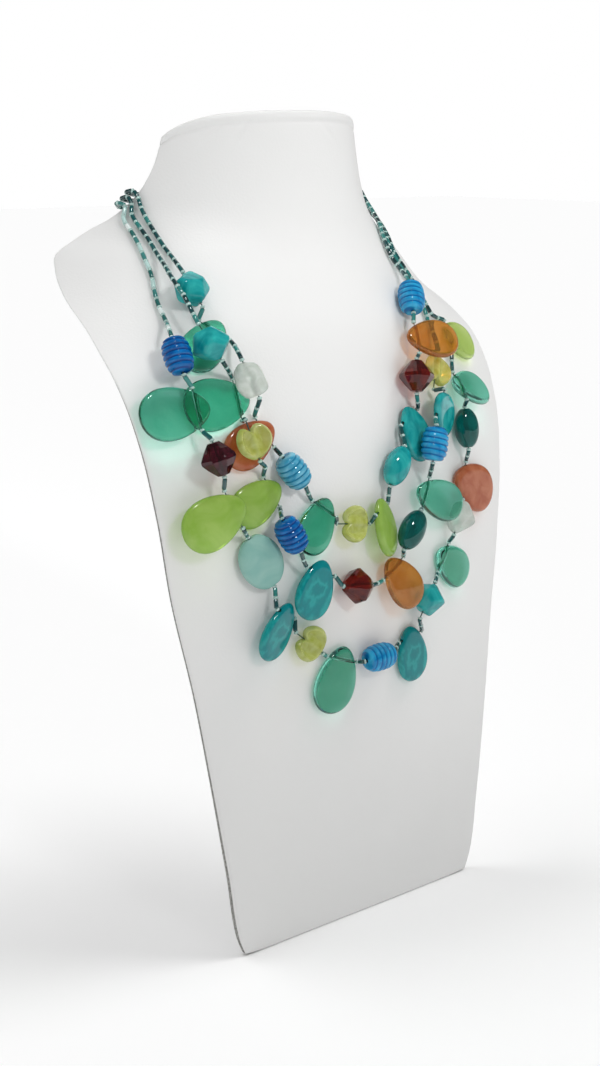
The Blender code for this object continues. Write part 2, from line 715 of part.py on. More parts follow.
def stand_on_origin(items):
    """Parent everything to one empty, placed so that the origin is under the middle of the whole."""
    bpy.context.view_layer.update()
    graph = bpy.context.evaluated_depsgraph_get()
    corners = []
    for item in items:
        shape = item.evaluated_get(graph)
        mesh = shape.to_mesh()
        corners += [item.matrix_world @ vertex.co for vertex in mesh.vertices]
        shape.to_mesh_clear()
    low = [min(corner[axis] for corner in corners) for axis in range(3)]
    high = [max(corner[axis] for corner in corners) for axis in range(3)]
    stand = bpy.data.objects.new("necklace_on_bust", None)
    bpy.context.collection.objects.link(stand)
    stand.location = (-(low[0] + high[0]) / 2, -(low[1] + high[1]) / 2, -low[2])
    for item in items:
        item.parent = stand


def main():
    clear_scene()
    items = [make_board(), make_leg(), make_clasp()]
    prototypes = {}
    for name, rows in STRINGS.items():
        places = bead_places(rows)
        items.append(make_string(name, rows, places))
        items += make_beads(rows, places, prototypes)
    for mesh in prototypes.values():
        bpy.data.meshes.remove(mesh)
    stand_on_origin(items)


main()
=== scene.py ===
"""Looks of the three-strand glass bead necklace and its white neck display bust.

Units are metres. Shapes are made in the bust's own frame, with its origin under the middle of the board's
front edge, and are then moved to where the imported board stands.
"""
import math

import bmesh
import bpy
from mathutils import Matrix, Vector, noise


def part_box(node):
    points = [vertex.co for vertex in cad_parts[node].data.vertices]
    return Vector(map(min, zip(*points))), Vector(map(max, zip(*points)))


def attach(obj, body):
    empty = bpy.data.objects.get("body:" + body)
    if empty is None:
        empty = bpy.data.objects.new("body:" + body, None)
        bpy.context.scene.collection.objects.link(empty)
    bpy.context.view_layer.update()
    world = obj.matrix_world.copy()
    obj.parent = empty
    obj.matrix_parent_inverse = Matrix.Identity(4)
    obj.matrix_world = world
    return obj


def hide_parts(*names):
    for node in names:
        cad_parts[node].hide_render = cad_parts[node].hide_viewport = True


MM = 0.001
# Half the step over which the board's slope is measured
PROBE = 0.0005
# A section with less bow than this is nearly flat
LEAST_BOW = 0.0005

# Bust board and clasp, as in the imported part
BUST_HEIGHT = 0.304
BUST_WIDTH = 0.180
SHOULDER_SETBACK = 0.086
NECK_LEAN = 0.036
NECK_ARCH = 0.0045
BOARD_THICKNESS = 0.0032
CLASP_LENGTH = 0.013
CLASP_DIAMETER = 0.0078

# Bust cover: rounded rim, seam round the side, rolled lip under the neck's top edge, rounded corners
RIM_RADIUS = 0.0009
RIM_STEPS = 4
SEAM_DEPTH = 0.00035
LIP_DROP = 0.0036
LIP_DEPTH = 0.0005
LIP_WIDTH = 0.0007
LIP_SWELL = 0.00025
LIP_SWELL_WIDTH = 0.0011
WRINKLE_WIDTH = 0.0008
UNEVENNESS = 0.00010
UNEVEN_PATCHES = 30
COVER_COLUMNS = 110
COVER_ROWS = 230
ROW_CROWDING = 1.35
COVER_LEAST_BOW = 0.00001
ARCH_START = 0.875
CORNER_REACH = 0.015
NECK_CORNER = 0.0065
FOOT_CORNER = 0.0012
FOOT_FADE = 40
LEG_ROUND = 0.0006
WELD = 0.00001

# Strings and the clearances between pieces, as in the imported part
SEAT_GAP = 0.0003
FACET_GAP = 0.0006
BORE_DIAMETER = 0.0016
SPACER_DIAMETER = 0.0019
BEAD_LEAD = 0.0006
COLLAR_HEIGHT = 0.2765

# Spacer beads on the thread
THREAD_DIAMETER = 0.0005
PATH_STEP = 0.0008
TAUT = 0.45
SEED_LENGTH = 0.0011
TUBE_LENGTH = 0.0030
TUBE_DIAMETER = 0.0017
SPACER_BORE = 0.0007
SPACER_SIDES = 12

# Main beads: length along the hole, width, depth
RIBBED_LENGTH = 0.0128
RIBBED_DIAMETER = 0.0104
RIB_COUNT = 6
RIB_DEPTH = 0.00052
NUGGET_SIZE = (0.0138, 0.0134, 0.0118)
CLEAR_SIZE = (0.0130, 0.0128, 0.0112)
BICONE_LENGTH = 0.0118
BICONE_DIAMETER = 0.0134
BICONE_SIDES = 8
BICONE_EDGE = 0.00022
OVAL_SIZE = (0.0152, 0.0098, 0.0098)
FLAT_OVAL_SIZE = (0.0198, 0.0168, 0.0062)
PETAL_LENGTH = 0.0138
PETAL_WIDTH = 0.0150
PETAL_DEPTH = 0.0064
DROP_DEPTH = 0.0036
# Flat drops: length, width, and how far the hole is from the narrow end
DROP = (0.0260, 0.0188, 0.0048)
SMALL_DROP = (0.0226, 0.0156, 0.0042)

# Bead shapes: shares of a bead's own sizes, powers, and counts of steps and sides
EGG_TAPER = 0.22
EGG_FULLNESS = 1.02
DROP_SIDES = 64
DROP_RIM_STEPS = 6
DROP_SHOULDER = 0.46
DROP_DOME = 0.04
DROP_RINGS = (0.9, 0.75, 0.58, 0.4, 0.2, 0.06)
BARREL_STEPS = 72
BARREL_SHOULDER = 0.97
BARREL_END = 0.40
BARREL_FULLNESS = 2.6
GROOVE_NARROWNESS = 2.2
GROOVE_FADE = 8
FACET_TURN = 2.39996
FACET_REACH = 0.92
FACET_SPREAD = 0.10
FACET_PHASE = 3.7
STONE_STEPS = 30
STONE_SIDES = 44
BORE_END = 1.005
PILLOW_FULLNESS = 2.5
PETAL_SIDES = 72
PETAL_RADIUS = 0.92
PETAL_NOTCH = 0.42
PETAL_TIP = 0.08
PETAL_FOLD = 0.62
PETAL_SINK = 0.12
PETAL_DROOP = 0.20
PETAL_CROWN = 0.42
PETAL_CUP = 0.42
PETAL_CURL = 0.42
PETAL_RIDGE = 0.42
PETAL_RINGS = (0.05, 0.2, 0.35, 0.5, 0.62, 0.72, 0.8, 0.87, 0.93, 0.97, 0.993)
DRILL_SIDES = 24

# Board sections as shares of the sizes above
BOARD_SECTIONS = (
    # height, half width, edge setback, centre setback
    (0.000, 0.645, 0.000, 0.000),
    (0.013, 0.662, 0.000, 0.000),
    (0.115, 0.722, 0.009, -0.030),
    (0.230, 0.781, 0.035, -0.083),
    (0.345, 0.839, 0.070, -0.097),
    (0.461, 0.911, 0.113, -0.070),
    (0.559, 0.948, 0.145, 0.014),
    (0.641, 0.976, 0.215, 0.111),
    (0.691, 0.992, 0.302, 0.194),
    (0.730, 1.000, 0.419, 0.264),
    (0.763, 0.983, 0.581, 0.347),
    (0.799, 0.950, 0.814, 0.486),
    (0.826, 0.911, 0.942, 0.611),
    (0.845, 0.867, 1.000, 0.708),
    (0.862, 0.778, 0.988, 0.778),
    (0.888, 0.667, 0.895, 0.861),
    (0.921, 0.594, 0.802, 0.931),
    (0.954, 0.550, 0.756, 0.972),
    (1.000, 0.511, 0.733, 1.000),
)
SECTION_COLUMNS = tuple(zip(*BOARD_SECTIONS))

# Strings, from the left side of the neck over the front to the right side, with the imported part's own places.
# A bead row: kind, glass, millimetres across from the middle, millimetres below the collar line, layers of
# flat bead under it, and degrees turned in the board's plane, tipped off the board and twisted about its own
# length. The bead's node is named for its kind, its string and its number along the string.
# A way row: millimetres across, millimetres below the collar line and millimetres clear of the board.
INNER_STRING = (
    (-53.6, 5.1, 1.3), (-54.0, 9.6, 1.3), (-54.3, 13.6, 1.3), (-54.6, 17.3, 1.3), (-54.3, 21.3, 2.6),
    ("nugget", "turquoise", -53.8, 33.7, 0, 0, 0, 0),
    ("small_drop", "green", -52.5, 45.5, 0, 28, 0, 0),
    ("clear", "frosted", -48.1, 62.7, 0.8, 0, 0, 0),
    ("small_drop", "copper", -43.4, 80.1, 0, 6, 0, 0),
    ("ribbed", "light_blue", -35.5, 94.3, 0, 0, 0, 0),
    ("small_drop", "green", -21.5, 109.7, 0, 6, 4, 0),
    ("petal", "lime", -11.3, 116.3, 0.5, 0, 0, 0),
    ("small_drop", "lime", 2.3, 112.9, 0.35, -26, 0, 26),
    ("oval", "turquoise", 12.3, 98.2, 0, 0, 0, 0),
    ("small_drop", "turquoise", 23.4, 81.5, 0, -44, 0, 6),
    ("bicone", "garnet", 25.6, 67.1, 0, 0, 0, 0),
    ("small_drop", "amber", 29.0, 53.8, 1, 8, 20, 10),
    ("ribbed", "blue", 34.6, 40.3, 0, 0, 0, 0),
    (40.6, 28.7, 2.4), (39.9, 23.4, 1.3), (40.9, 18.0, 1.3), (44.5, 13.4, 1.3), (48.7, 8.9, 1.3),
    (51.4, 4.2, 1.3),
)
MIDDLE_STRING = (
    (-56.0, 6.1, 1.3), (-56.6, 10.2, 1.3), (-56.9, 14.5, 1.3), (-57.6, 18.5, 1.6), (-57.7, 21.8, 3.2),
    (-57.9, 26.5, 6.6), (-58.3, 30.8, 9.4), (-58.7, 35.6, 11.5), (-58.8, 38.9, 11.5),
    ("nugget", "turquoise", -58.1, 52.2, 1, 0, 0, 0),
    ("drop", "green", -51.6, 68.4, 0, -12, 0, 0),
    ("petal", "lime", -51.0, 82.6, 1, 0, 0, 0),
    (-46.6, 91.6, 5.6),
    ("small_drop", "lime", -43.2, 100.9, 0, 12, 0, 0),
    ("ribbed", "blue", -40.8, 115.9, 1, 0, 0, 0),
    ("small_drop", "swirl", -27.3, 131.2, 1, 15, 0, 0),
    ("bicone", "garnet", -12.0, 138.8, 0, 0, 0, 0),
    ("small_drop", "amber", 6.3, 135.5, 1, 0, 8, 0),
    ("oval", "teal", 13.2, 122, 1.2, 0, 0, 0),
    ("small_drop", "green", 25.4, 110.3, 1, 0, 12, 0),
    ("ribbed", "blue", 27.5, 92.1, 1.3, 0, 0, 0),
    ("small_drop", "turquoise", 34.4, 78.3, 1.8, -10, -24, 0),
    ("petal", "lime", 41.4, 66.6, 0, 0, 0, 0),
    (46.8, 52.0, 1.3), (48.6, 43.5, 1.3), (48.3, 35.1, 1.3), (44.2, 27.9, 1.3), (42.6, 23.0, 1.3),
    (43.3, 19.0, 1.3), (46.5, 15.0, 1.3), (50.8, 10.4, 1.3), (53.8, 5.2, 1.3),
)
OUTER_STRING = (
    (-58.3, 8.0, 1.3), (-59.2, 12.4, 1.3), (-60.5, 17.2, 1.3), (-61.3, 20.6, 1.3), (-62.1, 26.7, 1.3),
    (-63.6, 32.0, 1.3), (-64.8, 36.7, 1.6), (-66.2, 43.6, 3.6),
    ("ribbed", "blue", -69.8, 56.0, 1, 0, 0, 0),
    ("drop", "green", -68.6, 71.5, 1.4, -8, 0, 0),
    ("bicone", "garnet", -65.9, 87.5, 1, 0, 0, 0),
    ("drop", "lime", -61.8, 104.7, 1.8, 0, 0, 0),
    ("flat_oval", "pale", -50.0, 124.9, 0, 0, 0, 0),
    ("small_drop", "swirl", -41.7, 144.8, 0.1, 30, 0, 24),
    ("petal", "lime", -31.4, 157.7, 0, 0, 0, 0),
    ("drop", "green", -16.0, 166.9, 0, 0, 0, 0),
    ("ribbed", "blue", -0.6, 168.4, 0, 0, 0, 0),
    ("small_drop", "swirl", 18.8, 165.3, 0, -25, 0, 0),
    ("nugget", "turquoise", 24.3, 151.1, 0, 0, 0, 0),
    ("small_drop", "green", 38.6, 137.6, 0, 0, 0, 0),
    ("clear", "frosted", 44.2, 122.4, 0, 0, 0, 0),
    ("drop", "copper", 52.9, 109.5, 0, -8, 0, 0),
    ("oval", "teal", 54.1, 89.6, 0, 0, 0, 0),
    ("small_drop", "green", 52.9, 73.8, 0.3, 0, 0, 25),
    ("small_drop", "pale_lime", 58.4, 55, 0, -12, 0, 0),
    (53.2, 47.0, 1.3), (51.6, 40.0, 1.3), (50.6, 33.9, 1.3), (46.9, 27.2, 1.3), (45.1, 22.8, 1.3),
    (45.7, 20.2, 1.3), (48.6, 16.6, 1.3), (52.9, 11.9, 1.3), (56.4, 6.4, 1.3),
)
STRINGS = {"inner": INNER_STRING, "middle": MIDDLE_STRING, "outer": OUTER_STRING}

# Beads whose glass is a shade of its own
OWN_GLASS = {"bicone_outer_3": "purple", "ribbed_inner_13": "sky_blue", "ribbed_middle_11": "sky_blue",
             "ribbed_outer_9": "sky_blue"}

# The strings side by side over the neck's edges, a little closer than their solids: rows above the middle
# one, their pitch, and how far they stand off the edge as shares of their lift
BUNDLE_ROWS = {"inner": 1, "middle": 0, "outer": -1}
BUNDLE_PITCH = 0.0023
EDGE_LEAN = 1.75
BACK_LEAN = 0.4


# Finishes

def linear(channel):
    value = channel / 255
    return value / 12.92 if value <= 0.04045 else ((value + 0.055) / 1.055) ** 2.4


def colour(red, green, blue):
    """A linear colour from 0 to 255 display values."""
    return (linear(red), linear(green), linear(blue), 1)


class Nodes:
    """The node tree of a material or world, with short calls to add nodes."""

    def __init__(self, holder):
        holder.use_nodes = True
        self.tree = holder.node_tree

    def put(self, socket, value):
        if isinstance(value, bpy.types.NodeSocket):
            self.tree.links.new(value, socket)
        else:
            socket.default_value = value

    def add(self, kind, inputs=None, **settings):
        made = self.tree.nodes.new(kind)
        for key, value in settings.items():
            setattr(made, key, value)
        for key, value in (inputs or {}).items():
            self.put(made.inputs[key], value)
        return made


class Finish(Nodes):
    """A material, with short calls for what finishes share."""

    def __init__(self, name):
        self.material = bpy.data.materials.new(name)
        super().__init__(self.material)
        self.shader = self.tree.nodes["Principled BSDF"]
        self.output = self.tree.nodes["Material Output"]
        self.place = self.add("ShaderNodeTexCoord").outputs["Object"]

    def set(self, **values):
        for key, value in values.items():
            self.put(self.shader.inputs[key.replace("_", " ")], value)

    def noise(self, scale, detail, distortion=0, vector=None):
        inputs = {"Vector": vector or self.place, "Scale": scale, "Detail": detail, "Distortion": distortion}
        return self.add("ShaderNodeTexNoise", inputs).outputs["Fac"]

    def stretched(self, scale, location=(0, 0, 0)):
        """The place on the piece, scaled and moved."""
        return self.add("ShaderNodeMapping", {"Vector": self.place, "Location": location, "Scale": scale}
                        ).outputs["Vector"]

    def ramp(self, factor, *stops):
        """Colours over a factor, from stops of a place and a colour in 0 to 255 display values."""
        made = self.add("ShaderNodeValToRGB", {"Fac": factor})
        elements = made.color_ramp.elements
        while len(elements) < len(stops):
            elements.new(1.0)
        for element, (place, tint) in zip(elements, stops):
            element.position = place
            element.color = colour(*tint)
        return made.outputs["Color"]

    def bump(self, height, distance, strength):
        inputs = {"Height": height, "Distance": distance, "Strength": strength}
        return self.add("ShaderNodeBump", inputs).outputs["Normal"]

    def let_lamps_through(self, tint):
        """Rays from lamps pass straight through the glass, tinted, so that its shadow is coloured."""
        path = self.add("ShaderNodeLightPath")
        clear = self.add("ShaderNodeBsdfTransparent", {"Color": colour(*tint)})
        inputs = {0: path.outputs["Is Shadow Ray"], 1: self.shader.outputs["BSDF"], 2: clear.outputs["BSDF"]}
        self.put(self.output.inputs["Surface"], self.add("ShaderNodeMixShader", inputs).outputs["Shader"])


# Every glass's refractive index
GLASS_IOR = 1.5

# Clear and milky glasses: tint, tint of its streaks, share that is clear, roughness, shadow tint (None where
# the lamps' light stops at the glass) and streaks a metre
GLASSES = {
    "green": ((116, 208, 184), (138, 220, 198), 1.0, 0.02, (184, 238, 222), 90),
    "lime": ((156, 194, 82), (178, 208, 110), 0.5, 0.14, (205, 228, 150), 90),
    "petal": ((182, 190, 92), (212, 218, 146), 0.45, 0.1, (225, 228, 160), 160),
    "pale_lime": ((196, 220, 128), (214, 230, 156), 0.75, 0.12, (225, 238, 180), 90),
    "copper": ((172, 92, 58), (194, 120, 84), 0.35, 0.08, (222, 180, 155), 150),
    "amber": ((208, 138, 50), (220, 158, 84), 0.85, 0.04, (236, 190, 130), 150),
    "garnet": ((84, 8, 10), (138, 32, 20), 0.8, 0.03, (190, 100, 100), 160),
    "purple": ((58, 8, 24), (96, 24, 42), 0.8, 0.03, (170, 100, 115), 160),
    "teal": ((2, 84, 80), (8, 112, 106), 0.5, 0.03, (110, 180, 175), 120),
    "frosted": ((208, 215, 208), (228, 233, 228), 0.6, 0.25, (240, 242, 238), 240),
    "pale": ((134, 186, 177), (152, 198, 188), 0.2, 0.24, None, 90),
    "turquoise": ((6, 142, 146), (54, 184, 180), 0.2, 0.03, None, 120),
    "light_blue": ((48, 138, 172), (112, 180, 202), 0.0, 0.06, None, 130),
    "blue": ((0, 76, 142), (8, 112, 180), 0.0, 0.05, None, 130),
    "sky_blue": ((0, 116, 174), (52, 166, 208), 0.0, 0.05, None, 110),
}

# Painted shade in the grooves of the ribbed beads: the darker colour laid where the coiled groove lies
RIBBED_GROOVE_SHADES = {"light_blue": (26, 116, 150), "blue": (0, 58, 122), "sky_blue": (0, 96, 154)}


def rib_share(made):
    """How deep in a ribbed bead's coiled groove a point is: 0 on a rib, 1 at the bottom. It masks the painted
    groove shade.
    """
    place = made.add("ShaderNodeSeparateXYZ", {"Vector": made.place}).outputs
    angle = made.add("ShaderNodeMath", {0: place["Z"], 1: place["Y"]}, operation="ARCTAN2").outputs["Value"]
    phase = made.add("ShaderNodeMath", {0: place["X"], 1: 2 * math.pi * RIB_COUNT / RIBBED_LENGTH, 2: angle},
                     operation="MULTIPLY_ADD").outputs["Value"]
    wave = made.add("ShaderNodeMath", {0: phase}, operation="COSINE").outputs["Value"]
    return made.add("ShaderNodeMapRange", {"Value": wave, "From Min": 0.3, "From Max": 1.0},
                    interpolation_type="SMOOTHSTEP").outputs["Result"]


def glass_finish(name):
    base, streak, clear, roughness, shadow, scale = GLASSES[name]
    made = Finish(name + "_glass")
    streaks = made.noise(scale, detail=3, distortion=0.8)
    tint = made.ramp(streaks, (0.36, base), (0.62, streak))
    # Painted shade: the ribbed beads darken towards the bottom of their coiled groove
    if name in RIBBED_GROOVE_SHADES:
        inputs = {"Factor": rib_share(made), "A": tint, "B": colour(*RIBBED_GROOVE_SHADES[name])}
        tint = made.add("ShaderNodeMix", inputs, data_type="RGBA").outputs["Result"]
    ripple = made.bump(made.noise(240, detail=2), distance=0.00010, strength=0.25)
    made.set(Base_Color=tint, Roughness=roughness, IOR=GLASS_IOR, Specular_IOR_Level=0.4,
             Transmission_Weight=clear, Normal=ripple)
    if shadow:
        made.let_lamps_through(shadow)
    return made.material


def swirl_finish():
    """Teal glass with paler bands that ring the middle of a drop."""
    made = Finish("swirl_glass")
    middle = made.stretched((1.5, 1, 1), (0, 0.007, 0))
    inputs = {"Vector": middle, "Scale": 38, "Distortion": 6, "Detail": 2, "Detail Scale": 5}
    bands = made.add("ShaderNodeTexWave", inputs, wave_type="RINGS", rings_direction="Z").outputs["Fac"]
    tint = made.ramp(bands, (0.0, (2, 134, 140)), (0.5, (4, 142, 146)), (1.0, (30, 164, 162)))
    made.set(Base_Color=tint, Roughness=0.05, IOR=GLASS_IOR, Specular_IOR_Level=0.4, Transmission_Weight=0.3)
    made.let_lamps_through((130, 200, 195))
    return made.material


def edge_grey_and_shade_finish():
    """The board's cut side: grainier than the cover on its front and a darker grey, partly its own tone and
    partly painted shade for a side that stands in shade.
    """
    made = Finish("board_edge_grey_and_shade")
    grain = made.noise(1400, detail=4)
    # Painted shade: the side's greys are darker than its own tone, as if the side were in shade
    tint = made.ramp(grain, (0.35, (104, 104, 100)), (0.62, (172, 171, 167)))
    made.set(Base_Color=tint, Roughness=0.75, Normal=made.bump(grain, distance=0.00012, strength=0.8))
    return made.material


def cover_finish():
    """Soft white leatherette with a fine pebbled grain."""
    made = Finish("board")
    grain = made.add("ShaderNodeTexVoronoi", {"Vector": made.place, "Scale": 1300}, feature="SMOOTH_F1"
                     ).outputs["Distance"]
    patches = made.noise(9, detail=3)
    tint = made.ramp(patches, (0.3, (222, 222, 221)), (0.7, (227, 227, 226)))
    made.set(Base_Color=tint, Roughness=0.5, Specular_IOR_Level=0.35,
             Normal=made.bump(grain, distance=0.00006, strength=0.6))
    return made.material


def metal_finish():
    """Grey metal, brushed along the clasp."""
    made = Finish("clasp")
    brushed = made.noise(700, detail=3, vector=made.stretched((1, 8, 8)))
    tint = made.ramp(brushed, (0.3, (168, 168, 165)), (0.7, (196, 196, 193)))
    made.set(Base_Color=tint, Metallic=1.0, Roughness=0.3)
    return made.material


def thread_finish():
    """Dark green beading thread."""
    made = Finish("thread")
    tint = made.ramp(made.noise(3000, detail=2), (0.3, (38, 62, 60)), (0.7, (62, 92, 88)))
    made.set(Base_Color=tint, Roughness=0.5)
    return made.material


def tube_finish(name, *shades):
    """Lined glass tubes, each a shade lighter or darker than the next."""
    made = Finish(name)
    island = made.add("ShaderNodeNewGeometry").outputs["Random Per Island"]
    stops = [(index / len(shades), shade) for index, shade in enumerate(shades)]
    tint = made.ramp(island, *stops)
    tint.node.color_ramp.interpolation = "CONSTANT"
    made.set(Base_Color=tint, Roughness=0.08, Coat_Weight=1.0, Coat_Roughness=0.03)
    return made.material


def seed_finish():
    """Clear, faintly green seed beads."""
    made = Finish("string_seeds")
    tint = made.ramp(made.noise(2000, detail=1), (0.3, (196, 230, 224)), (0.7, (224, 242, 238)))
    made.set(Base_Color=tint, Roughness=0.08, Transmission_Weight=0.5, IOR=GLASS_IOR)
    made.let_lamps_through((215, 235, 230))
    return made.material


# Curves and the board's surface

def bell(value, middle, width):
    """1 at the middle, falling smoothly to 0 on both sides."""
    return math.exp(-(((value - middle) / width) ** 2))


def hermite(t, start, end, reach, start_slope, end_slope):
    """A cubic between two values or points at a share t, with a slope at each."""
    return ((2 * t**3 - 3 * t**2 + 1) * start + (t**3 - 2 * t**2 + t) * reach * start_slope
            + (3 * t**2 - 2 * t**3) * end + (t**3 - t**2) * reach * end_slope)


def monotone(keys, values, at):
    """A smooth curve through the values that never overshoots them."""
    at = min(max(at, keys[0]), keys[-1])
    last = len(keys) - 2
    index = next((i for i in range(last + 1) if at <= keys[i + 1]), last)

    def secant(i):
        return (values[i + 1] - values[i]) / (keys[i + 1] - keys[i])

    def slope(i):
        if i == 0:
            return secant(0)
        if i == last + 1:
            return secant(last)
        before, after = secant(i - 1), secant(i)
        if before * after <= 0:
            return 0.0
        span_before, span_after = keys[i] - keys[i - 1], keys[i + 1] - keys[i]
        mean = (before * span_after + after * span_before) / (span_before + span_after)
        return math.copysign(min(2 * abs(before), 2 * abs(after), abs(mean)), before)

    span = keys[index + 1] - keys[index]
    return hermite((at - keys[index]) / span, values[index], values[index + 1], span, slope(index),
                   slope(index + 1))


def board_section(height):
    """Half width, edge setback and centre setback of the board at a height."""
    share = height / BUST_HEIGHT
    heights, widths, edges, centres = SECTION_COLUMNS
    return (monotone(heights, widths, share) * BUST_WIDTH / 2,
            monotone(heights, edges, share) * SHOULDER_SETBACK,
            monotone(heights, centres, share) * NECK_LEAN)


def bow_radius(half_width, bow):
    """The radius of an arc of a half width and a height."""
    return (half_width**2 + bow**2) / (2 * bow)


def board_setback(across, height):
    """Setback of the board's front, which is an arc through its centre and edges at each height."""
    half_width, edge, centre = board_section(height)
    bow = edge - centre
    if bow < LEAST_BOW:
        return centre + bow * (across / half_width) ** 2
    radius = bow_radius(half_width, bow)
    reach = min(abs(across), 0.999 * radius)
    return centre + radius - math.sqrt(radius**2 - reach**2)


def board_normal(across, height):
    slope_x = (board_setback(across + PROBE, height) - board_setback(across - PROBE, height)) / (2 * PROBE)
    slope_z = (board_setback(across, height + PROBE) - board_setback(across, height - PROBE)) / (2 * PROBE)
    return Vector((slope_x, -1, slope_z)).normalized()


def board_point(across, height, lift=0.0):
    front = Vector((across, board_setback(across, height), height))
    return front + board_normal(across, height) * lift


# Mesh building

def bridge(mesh_data, low, high):
    """Faces from one ring of corners to the next."""
    rounds = zip(low, low[1:] + low[:1], high[1:] + high[:1], high)
    return [mesh_data.faces.new(corners) for corners in rounds]


def add_rings(mesh_data, rings, closed):
    """Faces over rings of points: capped at both ends, or closed from the last ring to the first."""
    rows = [[mesh_data.verts.new(point) for point in ring] for ring in rings]
    pairs = list(zip(rows, rows[1:]))
    if closed:
        pairs.append((rows[-1], rows[0]))
    else:
        mesh_data.faces.new(reversed(rows[0]))
        mesh_data.faces.new(rows[-1])
    for low, high in pairs:
        bridge(mesh_data, low, high)


def finished(mesh_data, name):
    """The smooth mesh, with its faces pointing out."""
    bmesh.ops.recalc_face_normals(mesh_data, faces=mesh_data.faces)
    mesh = bpy.data.meshes.new(name)
    mesh_data.to_mesh(mesh)
    mesh_data.free()
    mesh.shade_smooth()
    return mesh


def skin(rings, closed=False):
    mesh_data = bmesh.new()
    add_rings(mesh_data, rings, closed)
    return finished(mesh_data, "bead")


def crease(mesh, angle=38):
    """The mesh with sharp shading where its faces meet at more than an angle in degrees."""
    mesh.set_sharp_from_angle(angle=math.radians(angle))
    return mesh


def turn_angles(sides):
    return [2 * math.pi * index / sides for index in range(sides)]


def bore_ring(along, sides, radius=BORE_DIAMETER / 2):
    return [(along, math.cos(angle) * radius, math.sin(angle) * radius) for angle in turn_angles(sides)]


def turned(size, profile, sides, section=None):
    """A drilled bead turned about its hole along X: a profile of shares of its half length and half width."""
    length, width, depth = size
    rings = []
    for along, out in profile:
        ring = []
        for angle in turn_angles(sides):
            factor = out if section is None else section(angle, along, out)
            ring.append((along * length / 2, math.cos(angle) * factor * width / 2,
                         math.sin(angle) * factor * depth / 2))
        rings.append(ring)
    rings += [bore_ring(profile[end][0] * length / 2, sides) for end in (-1, 0)]
    return crease(skin(rings, closed=True))


def drilled(mesh, length):
    """The mesh with a hole along X through its origin."""
    body = bpy.data.objects.new("undrilled", mesh)
    drill = bpy.data.objects.new("drill", skin([bore_ring(end * length, DRILL_SIDES) for end in (-1, 1)]))
    for item in (body, drill):
        bpy.context.collection.objects.link(item)
    cut = body.modifiers.new("hole", "BOOLEAN")
    cut.object = drill
    cut.operation = "DIFFERENCE"
    bpy.context.view_layer.update()
    result = bpy.data.meshes.new_from_object(body.evaluated_get(bpy.context.evaluated_depsgraph_get()))
    for item in (body, drill):
        bpy.data.objects.remove(item, do_unlink=True)
    result.shade_smooth()
    return crease(result, angle=50)


# Beads, each with its hole along X and its front towards +Z

def egg_half_width(share, width):
    """Half width of an egg outline at a share of its length from the narrow end."""
    cosine = 1 - 2 * share
    return width / 2 * math.sqrt(max(0, 1 - cosine**2)) * (1 - EGG_TAPER * cosine) / EGG_FULLNESS


def drop_bead(length, width, inset):
    """A pressed flat drop with a rounded rim and barely domed faces, drilled near its narrow end."""
    outline = []
    for angle in turn_angles(DROP_SIDES):
        share = (1 - math.cos(angle)) / 2
        side = math.copysign(1, math.sin(angle))
        outline.append(Vector((-side * egg_half_width(share, width), inset - share * length)))
    centre = Vector((0, inset - length / 2))
    rim = DROP_DEPTH / width
    quarter = [step * math.pi / (2 * DROP_RIM_STEPS) for step in range(DROP_RIM_STEPS + 1)]
    levels = [(1 - rim * (1 - math.cos(angle)), DROP_SHOULDER * math.sin(angle)) for angle in quarter]
    levels += [((1 - rim) * share, DROP_SHOULDER + DROP_DOME * (1 - share**2)) for share in DROP_RINGS]
    levels = [(share, -level) for share, level in reversed(levels)] + levels[1:]
    rings = [[(*(centre + (point - centre) * share), level * DROP_DEPTH) for point in outline]
             for share, level in levels]
    return drilled(skin(rings), width)


def ribbed_bead():
    """A wound barrel with one rib running round it like a coil."""
    groove = 2 * RIB_DEPTH / RIBBED_DIAMETER
    profile = [(-1, BARREL_END)]
    for step in range(BARREL_STEPS + 1):
        along = BARREL_SHOULDER * (2 * step / BARREL_STEPS - 1)
        profile.append((along, (1 - abs(along) ** BARREL_FULLNESS) ** 0.5 * 0.5 + 0.5))
    profile.append((1, BARREL_END))

    def rib(angle, along, out):
        if abs(along) > BARREL_SHOULDER:
            return out
        wave = 0.5 + 0.5 * math.cos(math.pi * RIB_COUNT * along + angle)
        return out - groove * wave**GROOVE_NARROWNESS * (1 - abs(along) ** GROOVE_FADE)

    return turned((RIBBED_LENGTH, RIBBED_DIAMETER, RIBBED_DIAMETER), profile, 48, rib)


def stone_bead(size, facets, softness, spin):
    """A tumbled chunk: the smooth blend of a set of planes spread round it, so its corners stay soft."""
    planes = []
    for index in range(facets):
        height = 1 - 2 * (index + 0.5) / facets
        turn = index * FACET_TURN + spin
        out = math.sqrt(1 - height**2)
        distance = FACET_REACH + FACET_SPREAD * math.sin(FACET_PHASE * index + spin)
        planes.append((Vector((out * math.cos(turn), out * math.sin(turn), height)), distance))

    def reach(direction):
        total = sum(max(0, normal.dot(direction) / distance) ** softness for normal, distance in planes)
        return total ** (-1 / softness)

    rings = []
    for step in range(1, STONE_STEPS):
        polar = math.pi * step / STONE_STEPS
        ring = []
        for angle in turn_angles(STONE_SIDES):
            direction = Vector((-math.cos(polar), math.sin(polar) * math.cos(angle),
                                math.sin(polar) * math.sin(angle)))
            ring.append(direction * reach(direction))
        rings.append(ring)
    spans = [max(abs(point[axis]) for ring in rings for point in ring) for axis in range(3)]
    rings = [[[point[axis] / spans[axis] * size[axis] / 2 for axis in range(3)] for point in ring]
             for ring in rings]
    ends = [sum(point[0] for point in rings[end]) / STONE_SIDES for end in (-1, 0)]
    rings += [bore_ring(end * BORE_END, STONE_SIDES) for end in ends]
    return crease(skin(rings, closed=True), angle=50)


